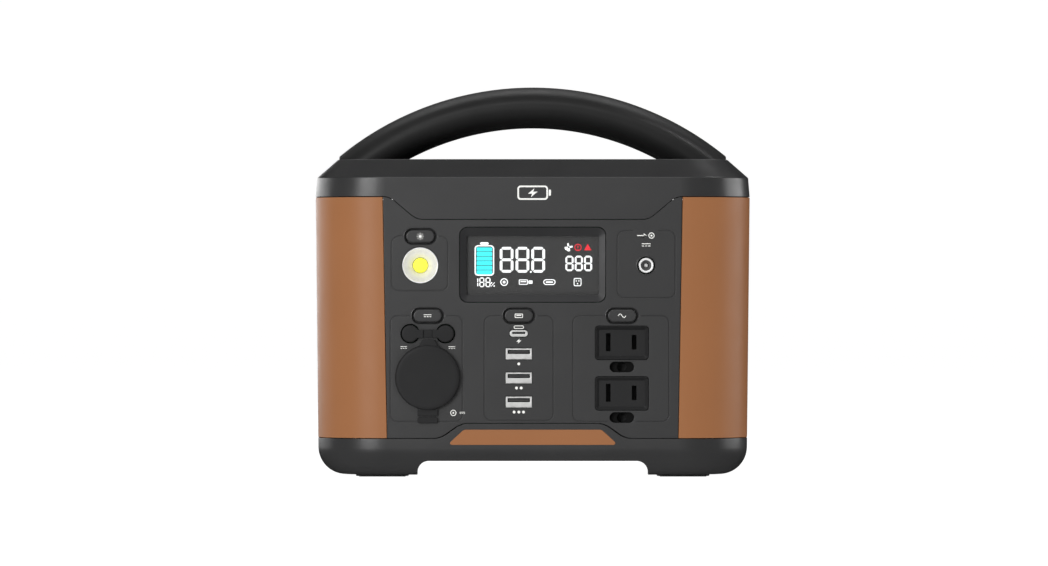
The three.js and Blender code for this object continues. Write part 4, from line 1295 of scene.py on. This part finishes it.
def dress_remaining_nodes():
    """Gives the CAD pieces that stay their own material, and breaks their edges."""
    for name, obj in frame["nodes"].items():
        if obj.hide_render:
            continue
        obj.data.materials.clear()
        obj.data.materials.append(SLOT_LOOKS[SLOTS[name]])
        edges = obj.modifiers.new("broken edges", "BEVEL")
        edges.width = 0.12 * MM
        edges.segments = 2
        edges.limit_method = "ANGLE"
        edges.angle_limit = math.radians(40)


# ---- stage


def stage_piece(name, bm, look):
    for face in bm.faces:
        face.smooth = True
    mesh = bpy.data.meshes.new(name)
    bm.to_mesh(mesh)
    bm.free()
    mesh.materials.append(look)
    obj = bpy.data.objects.new(name, mesh)
    obj.visible_glossy = False
    bpy.context.scene.collection.objects.link(obj)
    return obj


def make_stage():
    """A pale floor that glows a little, and round it a backdrop of the same paper that curves up."""
    look, tree, shader = node_tree("studio_paper")
    coords = tree.nodes.new("ShaderNodeTexCoord")
    paper = noise(tree, coords, 3, 3)
    tone = blend_colours(tree, paper, "Fac", (0.14, 0.14, 0.14), (0.16, 0.16, 0.16))
    link(tree, tone, "Color", shader, "Base Color")
    fill(shader, {"Roughness": 0.9, "Specular IOR Level": 0.0, "Emission Color": (1, 1, 1, 1),
                  "Emission Strength": FLOOR_GLOW})
    bm = bmesh.new()
    bm.faces.new([bm.verts.new((x, y, 0)) for x, y in circle(FLOOR_REACH, 0, 0, 96)])
    stage_piece("studio_floor", bm, look)
    profile = arc(FLOOR_REACH, BACKDROP_BEND, BACKDROP_BEND, -90, 0, 9)
    profile.append((FLOOR_REACH + BACKDROP_BEND, BACKDROP_HEIGHT))
    bm = bmesh.new()
    add_loft(bm, [[(x, y, z) for x, y in circle(radius, 0, 0, 96)] for radius, z in profile], caps=False)
    backdrop = stage_piece("studio_backdrop", bm, look)
    backdrop.visible_diffuse = False


def make_lights():
    aim = Vector(LIGHT_AIM)
    for name, (azimuth, rise, distance, wide, tall, brightness, shows) in SOFTBOXES.items():
        turn, lift = math.radians(azimuth), math.radians(rise)
        level = distance * math.cos(lift)
        place = aim + Vector((level * math.sin(turn), -level * math.cos(turn), distance * math.sin(lift)))
        data = bpy.data.lights.new(name, "AREA")
        data.shape = "RECTANGLE"
        data.size, data.size_y = wide, tall
        data.energy = 4 * wide * tall * brightness
        lamp = bpy.data.objects.new(name, data)
        lamp.location = place
        lamp.rotation_euler = (aim - place).to_track_quat("-Z", "Y").to_euler()
        lamp.visible_camera = False
        lamp.visible_glossy = shows
        bpy.context.scene.collection.objects.link(lamp)
    world = bpy.data.worlds.new("studio")
    world.use_nodes = True
    world.node_tree.nodes["Background"].inputs["Color"].default_value = (0.0, 0.0, 0.0, 1)
    bpy.context.scene.world = world
    bpy.context.scene.view_settings.view_transform = "Standard"


def make_camera():
    """Level, from far in front: half the case's height up, and straight before its middle."""
    data = bpy.data.cameras.new("camera")
    data.lens = CAMERA_LENS
    data.sensor_width = 36
    data.shift_x = CAMERA_SHIFT
    data.clip_start = 0.1
    data.clip_end = 60
    camera = bpy.data.objects.new("camera", data)
    camera.location = (0, FRONT_Y * MM - CAMERA_AWAY, CAMERA_HEIGHT)
    camera.rotation_euler = (math.radians(90), 0, 0)
    bpy.context.scene.collection.objects.link(camera)
    bpy.context.scene.camera = camera


make_camera()
make_top_cover()
make_base()
make_side_panel("left_side_panel", -1)
make_side_panel("right_side_panel", 1)
make_front_panel()
make_rear_panel()
make_handle()
make_feet()
make_strip()
make_display()
make_lamp()
make_buttons()
make_vehicle_socket()
make_socket_cap()
make_jacks()
make_jack_covers()
make_usb_ports()
make_outlets()
make_prints()
make_fan()
dress_remaining_nodes()
make_stage()
make_lights()
